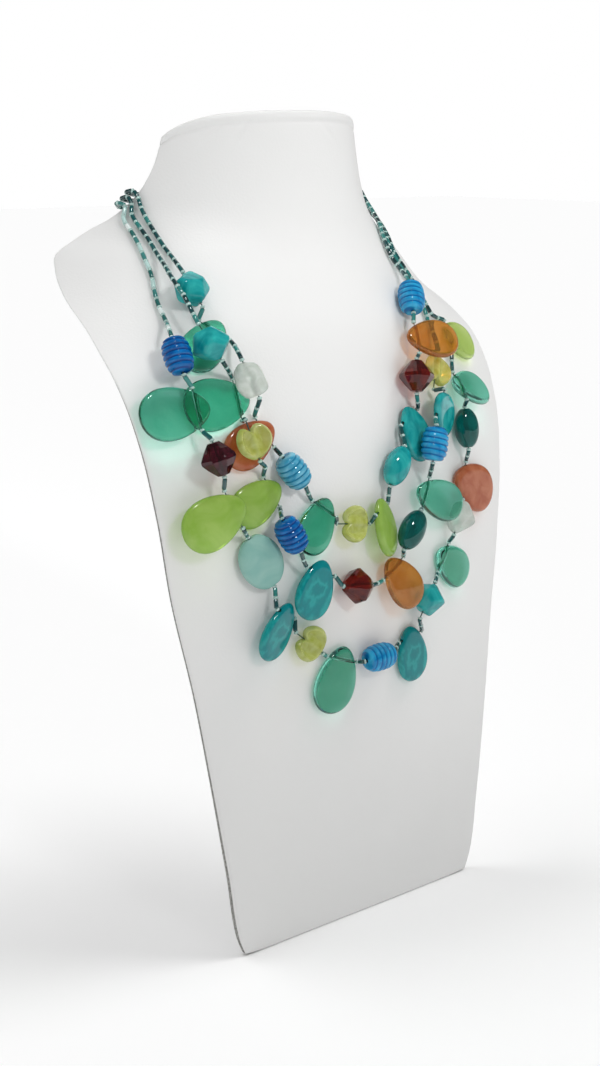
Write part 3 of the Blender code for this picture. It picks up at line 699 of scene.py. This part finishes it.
def bicone_bead():
    """A faceted double cone with a narrow girdle and softened edges."""
    profile = [(-1, 0.34), (-0.5, 0.74), (-0.1, 1.0), (0.1, 1.0), (0.5, 0.74), (1, 0.34)]
    mesh = turned((BICONE_LENGTH, BICONE_DIAMETER, BICONE_DIAMETER), profile, BICONE_SIDES)
    mesh_data = bmesh.new()
    mesh_data.from_mesh(mesh)
    outside = [edge for edge in mesh_data.edges
               if min(math.hypot(*corner.co.yz) for corner in edge.verts) > BORE_DIAMETER]
    bmesh.ops.bevel(mesh_data, geom=outside, offset=BICONE_EDGE, segments=2, profile=0.6, affect="EDGES")
    mesh_data.to_mesh(mesh)
    mesh_data.free()
    mesh.shade_flat()
    return mesh


def olive_profile(steps, end):
    """Shares of an olive's profile between ends of the given radius."""
    tip = math.acos(end)
    return [(math.sin(tip * (2 * step / steps - 1)) / math.sin(tip), math.cos(tip * (2 * step / steps - 1)))
            for step in range(steps + 1)]


def pillow(angle, along, out):
    """A section with fuller shoulders than an ellipse."""
    total = abs(math.cos(angle)) ** PILLOW_FULLNESS + abs(math.sin(angle)) ** PILLOW_FULLNESS
    return out * total ** (-1 / PILLOW_FULLNESS)


def petal_bead():
    """Two puffed petals joined at the tip and folded up along the string."""
    outline = []
    for angle in turn_angles(PETAL_SIDES):
        notch = PETAL_NOTCH * bell(angle, math.pi, 0.34)
        tip = PETAL_TIP * bell(min(angle, 2 * math.pi - angle), 0, 0.5)
        radius = PETAL_RADIUS - notch + tip
        outline.append((math.cos(angle) * radius * PETAL_LENGTH / 2,
                        math.sin(angle) * radius * PETAL_WIDTH / 2))
    half = PETAL_DEPTH / 2

    def fold(x, y):
        side = abs(y) / (PETAL_WIDTH / 2)
        return half * (PETAL_FOLD * side**1.2 - PETAL_SINK - PETAL_DROOP * max(0, x / PETAL_LENGTH))

    def front(share, x, y):
        side = abs(y) / (PETAL_WIDTH / 2)
        rim = (1 - share**8) ** 0.5
        cup = PETAL_CUP * bell(side, 0.42, 0.16) * bell(x / PETAL_LENGTH, -0.05, 0.3)
        curl = PETAL_CURL * bell(share, 0.82, 0.13) * min(1, 2 * side)
        ridge = PETAL_RIDGE * bell(side, 0, 0.16)
        return fold(x, y) + half * (rim * PETAL_CROWN - cup + curl + ridge * (1 - share**4))

    def back(share, x, y):
        return 0.7 * fold(x, y) - half * 0.45 * math.sqrt(max(0, 1 - share**4))

    rings = [[(x * share, y * share, back(share, x * share, y * share)) for x, y in outline]
             for share in PETAL_RINGS]
    rings.append([(x, y, 0.8 * fold(x, y)) for x, y in outline])
    rings += [[(x * share, y * share, front(share, x * share, y * share)) for x, y in outline]
              for share in reversed(PETAL_RINGS)]
    return drilled(skin(rings), PETAL_LENGTH)


def drop_reach(length, width, inset):
    """How wide a drop is across its hole, where the side of a spacer stands."""
    return 2 * egg_half_width((inset + SPACER_DIAMETER / 2) / length, width)


# Each kind: its maker, its reach along the string, and its depth off the board
KINDS = {
    "ribbed": (lambda name: ribbed_bead(), RIBBED_LENGTH, RIBBED_DIAMETER),
    "nugget": (lambda name: stone_bead(NUGGET_SIZE, 13, 15, len(name) + ord(name[-1])), *NUGGET_SIZE[::2]),
    "clear": (lambda name: stone_bead(CLEAR_SIZE, 9, 7, ord(name[-1])), *CLEAR_SIZE[::2]),
    "bicone": (lambda name: bicone_bead(), BICONE_LENGTH, BICONE_DIAMETER),
    "oval": (lambda name: turned(OVAL_SIZE, olive_profile(26, 0.34), 40), *OVAL_SIZE[::2]),
    "flat_oval": (lambda name: turned(FLAT_OVAL_SIZE, olive_profile(34, 0.36), 56, pillow),
                  *FLAT_OVAL_SIZE[::2]),
    "petal": (lambda name: petal_bead(), PETAL_LENGTH, PETAL_DEPTH),
    "drop": (lambda name: drop_bead(*DROP), drop_reach(*DROP), DROP_DEPTH),
    "small_drop": (lambda name: drop_bead(*SMALL_DROP), drop_reach(*SMALL_DROP), DROP_DEPTH),
}


# Places along the strings

def is_bead(row):
    return isinstance(row[0], str)


def named(string, rows):
    """The rows, with the node's name put first in each bead row."""
    made, number = [], 0
    for row in rows:
        if is_bead(row):
            number += 1
            row = (f"{row[0].replace('small_', '')}_{string}_{number}", *row)
        made.append(row)
    return made


def row_point(row):
    """Where a row's way point or bead hole lies, and the board's normal there."""
    if not is_bead(row):
        across, below, lift = row
        lift *= MM
    else:
        _, kind, _, across, below, layers, _, _, twist = row
        _, reach, depth = KINDS[kind]
        twist = math.radians(abs(twist))
        lift = (depth * math.cos(twist) + reach * math.sin(twist)) / 2 + SEAT_GAP
        lift += layers * (DROP_DEPTH + SEAT_GAP)
    height = COLLAR_HEIGHT - below * MM
    return board_point(across * MM, height, lift), board_normal(across * MM, height)


def bead_places(rows):
    """The matrix of each bead: X along its hole, Z off the board."""
    spots = [row_point(row) for row in rows]
    places = {}
    for index, row in enumerate(rows):
        if not is_bead(row):
            continue
        point, normal = spots[index]
        heading = spots[index + 1][0] - spots[index - 1][0]
        forward = (heading - normal * heading.dot(normal)).normalized()
        turn, tip, twist = (math.radians(angle) for angle in row[6:])
        forward = Matrix.Rotation(turn, 3, normal) @ forward
        normal = Matrix.Rotation(-tip, 3, forward) @ normal
        side = normal.cross(forward)
        forward = Matrix.Rotation(twist, 3, side) @ forward
        normal = Matrix.Rotation(twist, 3, side) @ normal
        places[row[0]] = Matrix.Translation(point) @ Matrix((forward, side, normal)).transposed().to_4x4()
    return places


def clasp_centre():
    edge = board_section(COLLAR_HEIGHT)[1]
    return Vector((0, edge + CLASP_DIAMETER / 2, COLLAR_HEIGHT))


def neck_wrap(name, side):
    """Points over the side of the neck and behind it, from the front to the clasp."""
    height = COLLAR_HEIGHT + BUNDLE_ROWS[name] * BUNDLE_PITCH
    half_width = board_section(height)[0]
    corner = board_point(side * half_width, height)
    normal = board_normal(side * half_width, height)
    beyond = Vector((-normal.y * side, normal.x * side, 0)).normalized()
    inner_corner = corner - normal * BOARD_THICKNESS
    lift = SPACER_DIAMETER / 2 + SEAT_GAP
    end = clasp_centre() + Vector((side * (CLASP_LENGTH / 2 + SEAT_GAP), 0,
                                   BUNDLE_ROWS[name] * (SPACER_DIAMETER + SEAT_GAP)))
    return [board_point(side * (half_width - lift / 2), height, lift),
            corner + (normal + beyond * EDGE_LEAN) * lift,
            inner_corner + (beyond * EDGE_LEAN - normal * BACK_LEAN) * lift, end]


def string_knots(name, rows, places):
    """Knots along a string: a point, its direction or None, and whether a bead hides the thread there."""
    knots = [(point, None, False) for point in reversed(neck_wrap(name, -1))]
    for row in rows:
        if not is_bead(row):
            knots.append((row_point(row)[0], None, False))
            continue
        place = places[row[0]]
        centre, forward = place.translation, place.to_3x3().col[0].normalized()
        reach = KINDS[row[1]][1] / 2 + SEAT_GAP
        lead = reach + BEAD_LEAD
        for along, bare in ((-lead, False), (-reach, True), (reach, True), (lead, False)):
            knots.append((centre + forward * along, forward, bare))
    return knots + [(point, None, False) for point in neck_wrap(name, 1)]


def off_board(point):
    """The point, pushed out along the board's normal if a spacer there would touch the board's front."""
    if abs(point.x) > board_section(point.z)[0] - SPACER_DIAMETER / 2:
        return point
    normal = board_normal(point.x, point.z)
    clear = (board_setback(point.x, point.z) - point.y) * -normal.y
    if clear < 0:
        return point
    return point + normal * max(0, SPACER_DIAMETER / 2 + FACET_GAP - clear)


def string_stretches(knots):
    """The string's line as stretches of close points, each in the open between beads."""
    spots = [knot[0] for knot in knots]
    tangents = []
    for index, (point, direction, _) in enumerate(knots):
        before, after = spots[max(index - 1, 0)], spots[min(index + 1, len(spots) - 1)]
        tangents.append(direction or (after - before).normalized())
    stretches = [[spots[0]]]
    for index, (start, end) in enumerate(zip(spots, spots[1:])):
        if knots[index][2] and knots[index + 1][2]:
            stretches.append([end])
            continue
        length = (end - start).length
        pieces = max(1, round(length / PATH_STEP))
        pull = length * (TAUT if knots[index][1] or knots[index + 1][1] else 1)
        for piece in range(1, pieces + 1):
            point = hermite(piece / pieces, start, end, pull, tangents[index], tangents[index + 1])
            inside = knots[index][2] or knots[index + 1][2]
            stretches[-1].append(point if inside else off_board(point))
    return stretches


def along_path(path, distances):
    """Points at distances along a line of points."""
    found, walked, index = [], 0.0, 0
    for distance in distances:
        while index < len(path) - 2 and walked + (path[index + 1] - path[index]).length < distance:
            walked += (path[index + 1] - path[index]).length
            index += 1
        step = path[index + 1] - path[index]
        found.append(path[index] + step * min(1, (distance - walked) / step.length))
    return found


# Pieces

def show(name, data, material, place, slot, *nodes):
    """A piece at its place in the frame, riding on the one body and standing for its CAD nodes."""
    item = bpy.data.objects.new(name, data)
    bpy.context.collection.objects.link(item)
    data.materials.append(material)
    item.matrix_world = STAND @ place
    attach(item, "root")
    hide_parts(*nodes)
    return item


def make_beads(rows, places):
    """The beads of a string. Those of a kind share one shape, but each chunk has facets of its own."""
    for name, kind, glass, *_ in filter(is_bead, rows):
        key = name if kind in ("nugget", "clear") else kind
        if key not in PROTOTYPES:
            PROTOTYPES[key] = KINDS[kind][0](name)
        finish = FINISHES[OWN_GLASS.get(name, "petal" if kind == "petal" else glass)]
        show(name + "_glass", PROTOTYPES[key].copy(), finish, places[name], glass, name)


# Small drilled beads: shares of their length and radius
TUBE_SHOULDERS = ((0, 0.78), (0.04, 0.94), (0.10, 1.0), (0.90, 1.0), (0.96, 0.94), (1, 0.78))
SEED_SHOULDERS = ((0.06, 0.62), (0.14, 0.84), (0.32, 0.98), (0.5, 1.0), (0.68, 0.98), (0.86, 0.84),
                  (0.94, 0.62))
# A direction that no stretch of string runs in
ASIDE = Vector((0, 0.3, 1))


def spacer_rings(start, end, radius, shoulders):
    """Rings of a small drilled bead between two points."""
    axis = (end - start).normalized()
    side = axis.cross(ASIDE).normalized()
    other = axis.cross(side)
    bore = SPACER_BORE / 2 / radius
    rings = []
    for share, out in shoulders + ((shoulders[-1][0], bore), (shoulders[0][0], bore)):
        centre = start.lerp(end, share)
        rings.append([centre + (side * math.cos(angle) + other * math.sin(angle)) * radius * out
                      for angle in turn_angles(SPACER_SIDES)])
    return rings


def spacer_mesh(pieces):
    """One mesh of many small beads."""
    mesh_data = bmesh.new()
    for rings in pieces:
        add_rings(mesh_data, rings, closed=True)
    return crease(finished(mesh_data, "spacers"), angle=50)


def string_spacers(stretches):
    """Seed beads and tubes by turns along each open stretch, with a seed at both ends."""
    tubes, seeds = [], []
    for path in stretches:
        length = sum((after - before).length for before, after in zip(path, path[1:]))
        count = max(0, round((length - SEED_LENGTH) / (TUBE_LENGTH + SEED_LENGTH)))
        tube = (length - (count + 1) * SEED_LENGTH) / count if count else 0
        marks, at = [], 0.0
        for index in range(count + 1):
            marks.append((at, at + SEED_LENGTH, seeds, SPACER_DIAMETER / 2, SEED_SHOULDERS))
            at += SEED_LENGTH
            if index < count:
                marks.append((at, at + tube, tubes, TUBE_DIAMETER / 2, TUBE_SHOULDERS))
                at += tube
        for low, high, made, radius, shoulders in marks:
            start, end = along_path(path, (low, high))
            made.append(spacer_rings(start, end, radius, shoulders))
    return tubes, seeds


def thread_mesh(stretches):
    """One thin thread through every bead and spacer."""
    curve = bpy.data.curves.new("thread", "CURVE")
    curve.dimensions = "3D"
    curve.bevel_depth = THREAD_DIAMETER / 2
    curve.bevel_resolution = 1
    curve.use_fill_caps = True
    points = [point for path in stretches for point in path]
    spline = curve.splines.new("POLY")
    spline.points.add(len(points) - 1)
    for target, point in zip(spline.points, points):
        target.co = (*point, 1)
    return curve


def make_string(name, rows, places):
    """A string's thread, tubes and seeds. The outer string's first stretch has paler, silvery tubes."""
    stretches = string_stretches(string_knots(name, rows, places))
    tubes, seeds = string_spacers(stretches)
    silver = len(string_spacers(stretches[:1])[0]) if name == "outer" else 0
    node = "string_" + name
    show("thread_" + name, thread_mesh(stretches), FINISHES["thread"], STILL, "string", node)
    for kind, rings in (("tubes", tubes[silver:]), ("tubes_silver", tubes[:silver]), ("seeds", seeds)):
        if rings:
            show(f"{kind}_{name}", spacer_mesh(rings), FINISHES[kind], STILL, "string", node)


# Bust

# Creases in the cover near the neck's top: across and below the top in metres, slope, length, depth
WRINKLES = (
    (-0.034, 0.0062, -0.9, 0.0050, 0.00030),
    (-0.026, 0.0070, -1.2, 0.0065, 0.00035),
    (0.012, 0.0065, 0.7, 0.0045, 0.00020),
)


def cover_relief(across, height):
    """How far the cover stands off the board: a lip under the top edge, a few creases, slight unevenness."""
    below = BUST_HEIGHT - height
    relief = -LIP_DEPTH * bell(below, LIP_DROP, LIP_WIDTH)
    relief += LIP_SWELL * bell(below, LIP_DROP / 2, LIP_SWELL_WIDTH)
    for middle, down, slope, length, depth in WRINKLES:
        steepness = math.hypot(1, slope)
        run = (across - middle) / steepness + (below - down) * slope / steepness
        off = (below - down) / steepness - (across - middle) * slope / steepness
        relief -= depth * bell(run, 0, length) * bell(off, 0, WRINKLE_WIDTH)
    return relief + UNEVENNESS * noise.noise(Vector((across, height, 0)) * UNEVEN_PATCHES)


def cover_row(height, share):
    """Front and back points across the board at a height, inside its rounded rim."""
    half_width, edge, centre = board_section(height)
    bow = max(edge - centre, COVER_LEAST_BOW)
    radius = bow_radius(half_width, bow)
    reach = math.atan2(half_width, radius - bow) - RIM_RADIUS / radius
    row = []
    for column in range(COVER_COLUMNS + 1):
        across = 2 * column / COVER_COLUMNS - 1
        x = radius * math.sin(reach * across)
        normal = board_normal(x, height)
        corner = max(0, abs(x) - half_width + CORNER_REACH) / CORNER_REACH
        curve = 1 - math.sqrt(max(0, 1 - corner**2))
        arch = NECK_ARCH * (1 - across**2) - NECK_CORNER * curve
        rise = arch * max(0, (share - ARCH_START) / (1 - ARCH_START))
        rise += FOOT_CORNER * curve * max(0, 1 - FOOT_FADE * share)
        front = board_point(x, height) + Vector((0, 0, rise))
        back = front - normal * BOARD_THICKNESS
        back.z = front.z
        row.append((front + normal * cover_relief(x, height), back, normal))
    return row


def rim_loop(grid):
    """The grid's border points in order, each with its outward direction in the board's surface."""
    rows, columns = len(grid) - 1, COVER_COLUMNS
    walk = [(0, column) for column in range(columns)] + [(row, columns) for row in range(rows)]
    walk += [(rows, column) for column in range(columns, 0, -1)] + [(row, 0) for row in range(rows, 0, -1)]
    loop = []
    for row, column in walk:
        front, back, normal = grid[row][column]
        out = Vector()
        if column in (0, columns):
            inner = grid[row][1 if column == 0 else columns - 1][0]
            out += (front - inner).normalized()
        if row in (0, rows):
            inner = grid[1 if row == 0 else rows - 1][column][0]
            out += (front - inner).normalized()
        loop.append(((row, column), front, back, out.normalized()))
    return loop


def cover_mesh():
    """The covered board: a fine front, a plain back and a rounded rim with a seam round its side."""
    low, high = RIM_RADIUS, BUST_HEIGHT - RIM_RADIUS
    heights = [low + (high - low) * (1 - (1 - step / COVER_ROWS) ** ROW_CROWDING)
               for step in range(COVER_ROWS + 1)]
    grid = [cover_row(height, height / BUST_HEIGHT) for height in heights]
    mesh_data = bmesh.new()
    fronts = [[mesh_data.verts.new(cell[0]) for cell in row] for row in grid]
    backs = [[mesh_data.verts.new(cell[1]) for cell in row] for row in grid]
    for sheet in (fronts, backs):
        for lower, upper in zip(sheet, sheet[1:]):
            for column in range(COVER_COLUMNS):
                mesh_data.faces.new((lower[column], lower[column + 1], upper[column + 1], upper[column]))
    turns = [step * math.pi / (2 * RIM_STEPS) for step in range(1, RIM_STEPS + 1)]
    side = [(math.sin(turn), 1 - math.cos(turn)) for turn in turns]
    deep = BOARD_THICKNESS / RIM_RADIUS
    groove = SEAM_DEPTH / RIM_RADIUS
    # Rim radii outwards and down from the front: the round, the seam, the straight side and the back's edge
    profile = side + [(1 - groove, 1.25), (1, 1.5), (1, deep - 0.6), (0.8, deep - 0.15)]
    loop = rim_loop(grid)
    rings = [[fronts[cell[0]][cell[1]] for cell, _, _, _ in loop]]
    for out, down in profile:
        share = down / deep
        rings.append([mesh_data.verts.new(front.lerp(back, share) + outward * out * RIM_RADIUS)
                      for _, front, back, outward in loop])
    rings.append([backs[cell[0]][cell[1]] for cell, _, _, _ in loop])
    for level, (upper, lower) in enumerate(zip(rings, rings[1:])):
        for face in bridge(mesh_data, upper, lower):
            face.material_index = int(level >= len(side))
    return finished(mesh_data, "cover")


def clasp_mesh():
    """A plain turned barrel with rounded shoulders and a fine line where its halves meet."""
    half = ((0.03, 0.95), (0.05, 1.0), (0.80, 1.0), (0.88, 0.94), (0.95, 0.80), (0.985, 0.62), (1, 0.30))
    profile = [(-along, out) for along, out in reversed(half)] + list(half)
    rings = [bore_ring(along * CLASP_LENGTH / 2, 40, out * CLASP_DIAMETER / 2) for along, out in profile]
    return crease(skin(rings), angle=30)


def leg_mesh(leg):
    """The prop leg with its flat faces joined and its corners rounded."""
    mesh_data = bmesh.new()
    mesh_data.from_mesh(leg.data)
    bmesh.ops.remove_doubles(mesh_data, verts=mesh_data.verts, dist=WELD)
    bmesh.ops.dissolve_limit(mesh_data, angle_limit=math.radians(1), verts=mesh_data.verts,
                             edges=mesh_data.edges)
    corners = [edge for edge in mesh_data.edges
               if edge.is_manifold and edge.calc_face_angle() > math.radians(30)]
    bmesh.ops.bevel(mesh_data, geom=corners, offset=LEG_ROUND, segments=3, profile=0.5, affect="EDGES",
                    clamp_overlap=True)
    return crease(finished(mesh_data, "leg"), angle=30)


# Camera, light and floor

CAMERA_SPOT = (-0.396, -0.438, 0.2975)
CAMERA_TURN = 39.72
CAMERA_PITCH = 13.63
FOCAL_PIXELS = 1620
PHOTO_HEIGHT = 1066
SENSOR = 36.0
CLIP_START = 0.01
SUNS = (("right", (0.44, -0.24, 1.0), 1.0), ("left", (-0.28, 0.32, 1.0), 0.7))
SUN_WIDTH = math.radians(26)
STUDIO_LIGHT = 0.53
STUDIO_REFLECTION = 0.15
STUDIO_BACKDROP = 1.0
FLOOR_HALF = 6.0


def make_camera():
    """A camera at the photograph's viewing angle: its turn about Z and its pitch down, in degrees."""
    data = bpy.data.cameras.new("camera")
    data.sensor_width = SENSOR
    data.lens = FOCAL_PIXELS / PHOTO_HEIGHT * SENSOR
    data.clip_start = CLIP_START
    camera = bpy.data.objects.new("camera", data)
    bpy.context.collection.objects.link(camera)
    camera.location = STAND @ Vector(CAMERA_SPOT)
    camera.rotation_euler = (math.radians(90 - CAMERA_PITCH), 0, math.radians(-CAMERA_TURN))
    bpy.context.scene.camera = camera


def make_lamp(name, kind, spot, aim, unseen_by, **settings):
    """A lamp that shines from a spot to an aim and is left out for some kinds of ray."""
    data = bpy.data.lights.new(name, kind)
    for key, value in settings.items():
        setattr(data, key, value)
    lamp = bpy.data.objects.new(name, data)
    bpy.context.collection.objects.link(lamp)
    lamp.location = spot
    lamp.rotation_euler = (Vector(aim) - Vector(spot)).to_track_quat("-Z", "Y").to_euler()
    for ray in unseen_by:
        setattr(lamp, "visible_" + ray, False)
    return data


def make_lamps():
    """Two wide suns for the floor's shadows, a narrow key on the neck and a small shine in the beads."""
    for name, spot, strength in SUNS:
        sun = make_lamp(name, "SUN", spot, (0, 0, 0), ("glossy", "transmission"), energy=strength,
                        angle=SUN_WIDTH)
        sun.cycles.use_multiple_importance_sampling = False
    make_lamp("key", "AREA", (-0.12, -0.78, 0.62), (0, 0, 0.255), ("glossy", "transmission"), energy=0.088,
              shape="SQUARE", size=0.15, spread=math.radians(30))
    make_lamp("shine", "AREA", (-0.30, -0.38, 0.95), (0, 0, 0.18), ("diffuse", "transmission"), energy=1.2,
              shape="SQUARE", size=0.14, spread=math.radians(120))


def make_world():
    """A white studio: pure white behind the object, dimmer as a light, and dimmer still in reflections."""
    world = bpy.data.worlds.new("studio")
    bpy.context.scene.world = world
    made = Nodes(world)
    ray = made.add("ShaderNodeLightPath").outputs
    inputs = {"Value": ray["Is Glossy Ray"], "To Min": STUDIO_LIGHT, "To Max": STUDIO_REFLECTION}
    dimmed = made.add("ShaderNodeMapRange", inputs).outputs["Result"]
    inputs = {"Value": ray["Is Camera Ray"], "To Min": dimmed, "To Max": STUDIO_BACKDROP}
    background = made.tree.nodes["Background"].inputs
    made.put(background["Strength"], made.add("ShaderNodeMapRange", inputs).outputs["Result"])
    made.put(background["Color"], (1, 1, 1, 1))


def make_floor():
    """A wide white floor, which is stage and not part of the object."""
    mesh = bpy.data.meshes.new("floor")
    corners = [(x * FLOOR_HALF, y * FLOOR_HALF, 0) for x, y in ((-1, -1), (1, -1), (1, 1), (-1, 1))]
    mesh.from_pydata(corners, [], [(0, 1, 2, 3)])
    made = Finish("floor")
    made.set(Base_Color=colour(250, 250, 250), Roughness=0.7, Specular_IOR_Level=0.0)
    mesh.materials.append(made.material)
    floor = bpy.data.objects.new("floor", mesh)
    bpy.context.collection.objects.link(floor)


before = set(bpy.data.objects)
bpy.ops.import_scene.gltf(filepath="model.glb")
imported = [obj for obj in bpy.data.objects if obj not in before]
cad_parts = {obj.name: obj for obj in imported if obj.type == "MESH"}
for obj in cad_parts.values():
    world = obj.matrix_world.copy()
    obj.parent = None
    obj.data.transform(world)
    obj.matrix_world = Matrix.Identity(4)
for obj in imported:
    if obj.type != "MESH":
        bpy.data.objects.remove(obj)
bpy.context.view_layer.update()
shell_low, shell_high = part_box("bust_shell")
# From the bust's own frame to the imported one, and a piece that is made in its place
STAND = Matrix.Translation(((shell_low.x + shell_high.x) / 2,
                            shell_low.y - min(SECTION_COLUMNS[3]) * NECK_LEAN, shell_low.z))
STILL = Matrix.Identity(4)
FINISHES = {
    "board": cover_finish(),
    "edge": edge_grey_and_shade_finish(),
    "clasp": metal_finish(),
    "thread": thread_finish(),
    "tubes": tube_finish("string_tubes", (6, 54, 56), (14, 82, 82), (10, 66, 68), (40, 122, 116)),
    "tubes_silver": tube_finish("string_silver_tubes", (34, 96, 92), (178, 208, 204), (58, 124, 120),
                                (222, 232, 230)),
    "seeds": seed_finish(),
    "swirl": swirl_finish(),
}
FINISHES.update({name: glass_finish(name) for name in GLASSES})
PROTOTYPES = {}

make_camera()
make_world()
make_lamps()
make_floor()
for string_name, plain_rows in STRINGS.items():
    string_rows = named(string_name, plain_rows)
    string_places = bead_places(string_rows)
    make_string(string_name, string_rows, string_places)
    make_beads(string_rows, string_places)
for prototype in PROTOTYPES.values():
    bpy.data.meshes.remove(prototype)
cover = show("bust_cover", cover_mesh(), FINISHES["board"], STILL, "board", "bust_shell")
# The rim's side takes the grey edge finish with its painted shade
cover.data.materials.append(FINISHES["edge"])
show("clasp_barrel", clasp_mesh(), FINISHES["clasp"], Matrix.Translation(clasp_centre()), "clasp", "clasp")
cad_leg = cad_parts["bust_leg"]
show("bust_leg_board", leg_mesh(cad_leg), FINISHES["board"], STAND.inverted() @ cad_leg.matrix_world, "board",
     "bust_leg")

bpy.context.scene.view_settings.view_transform = "Standard"
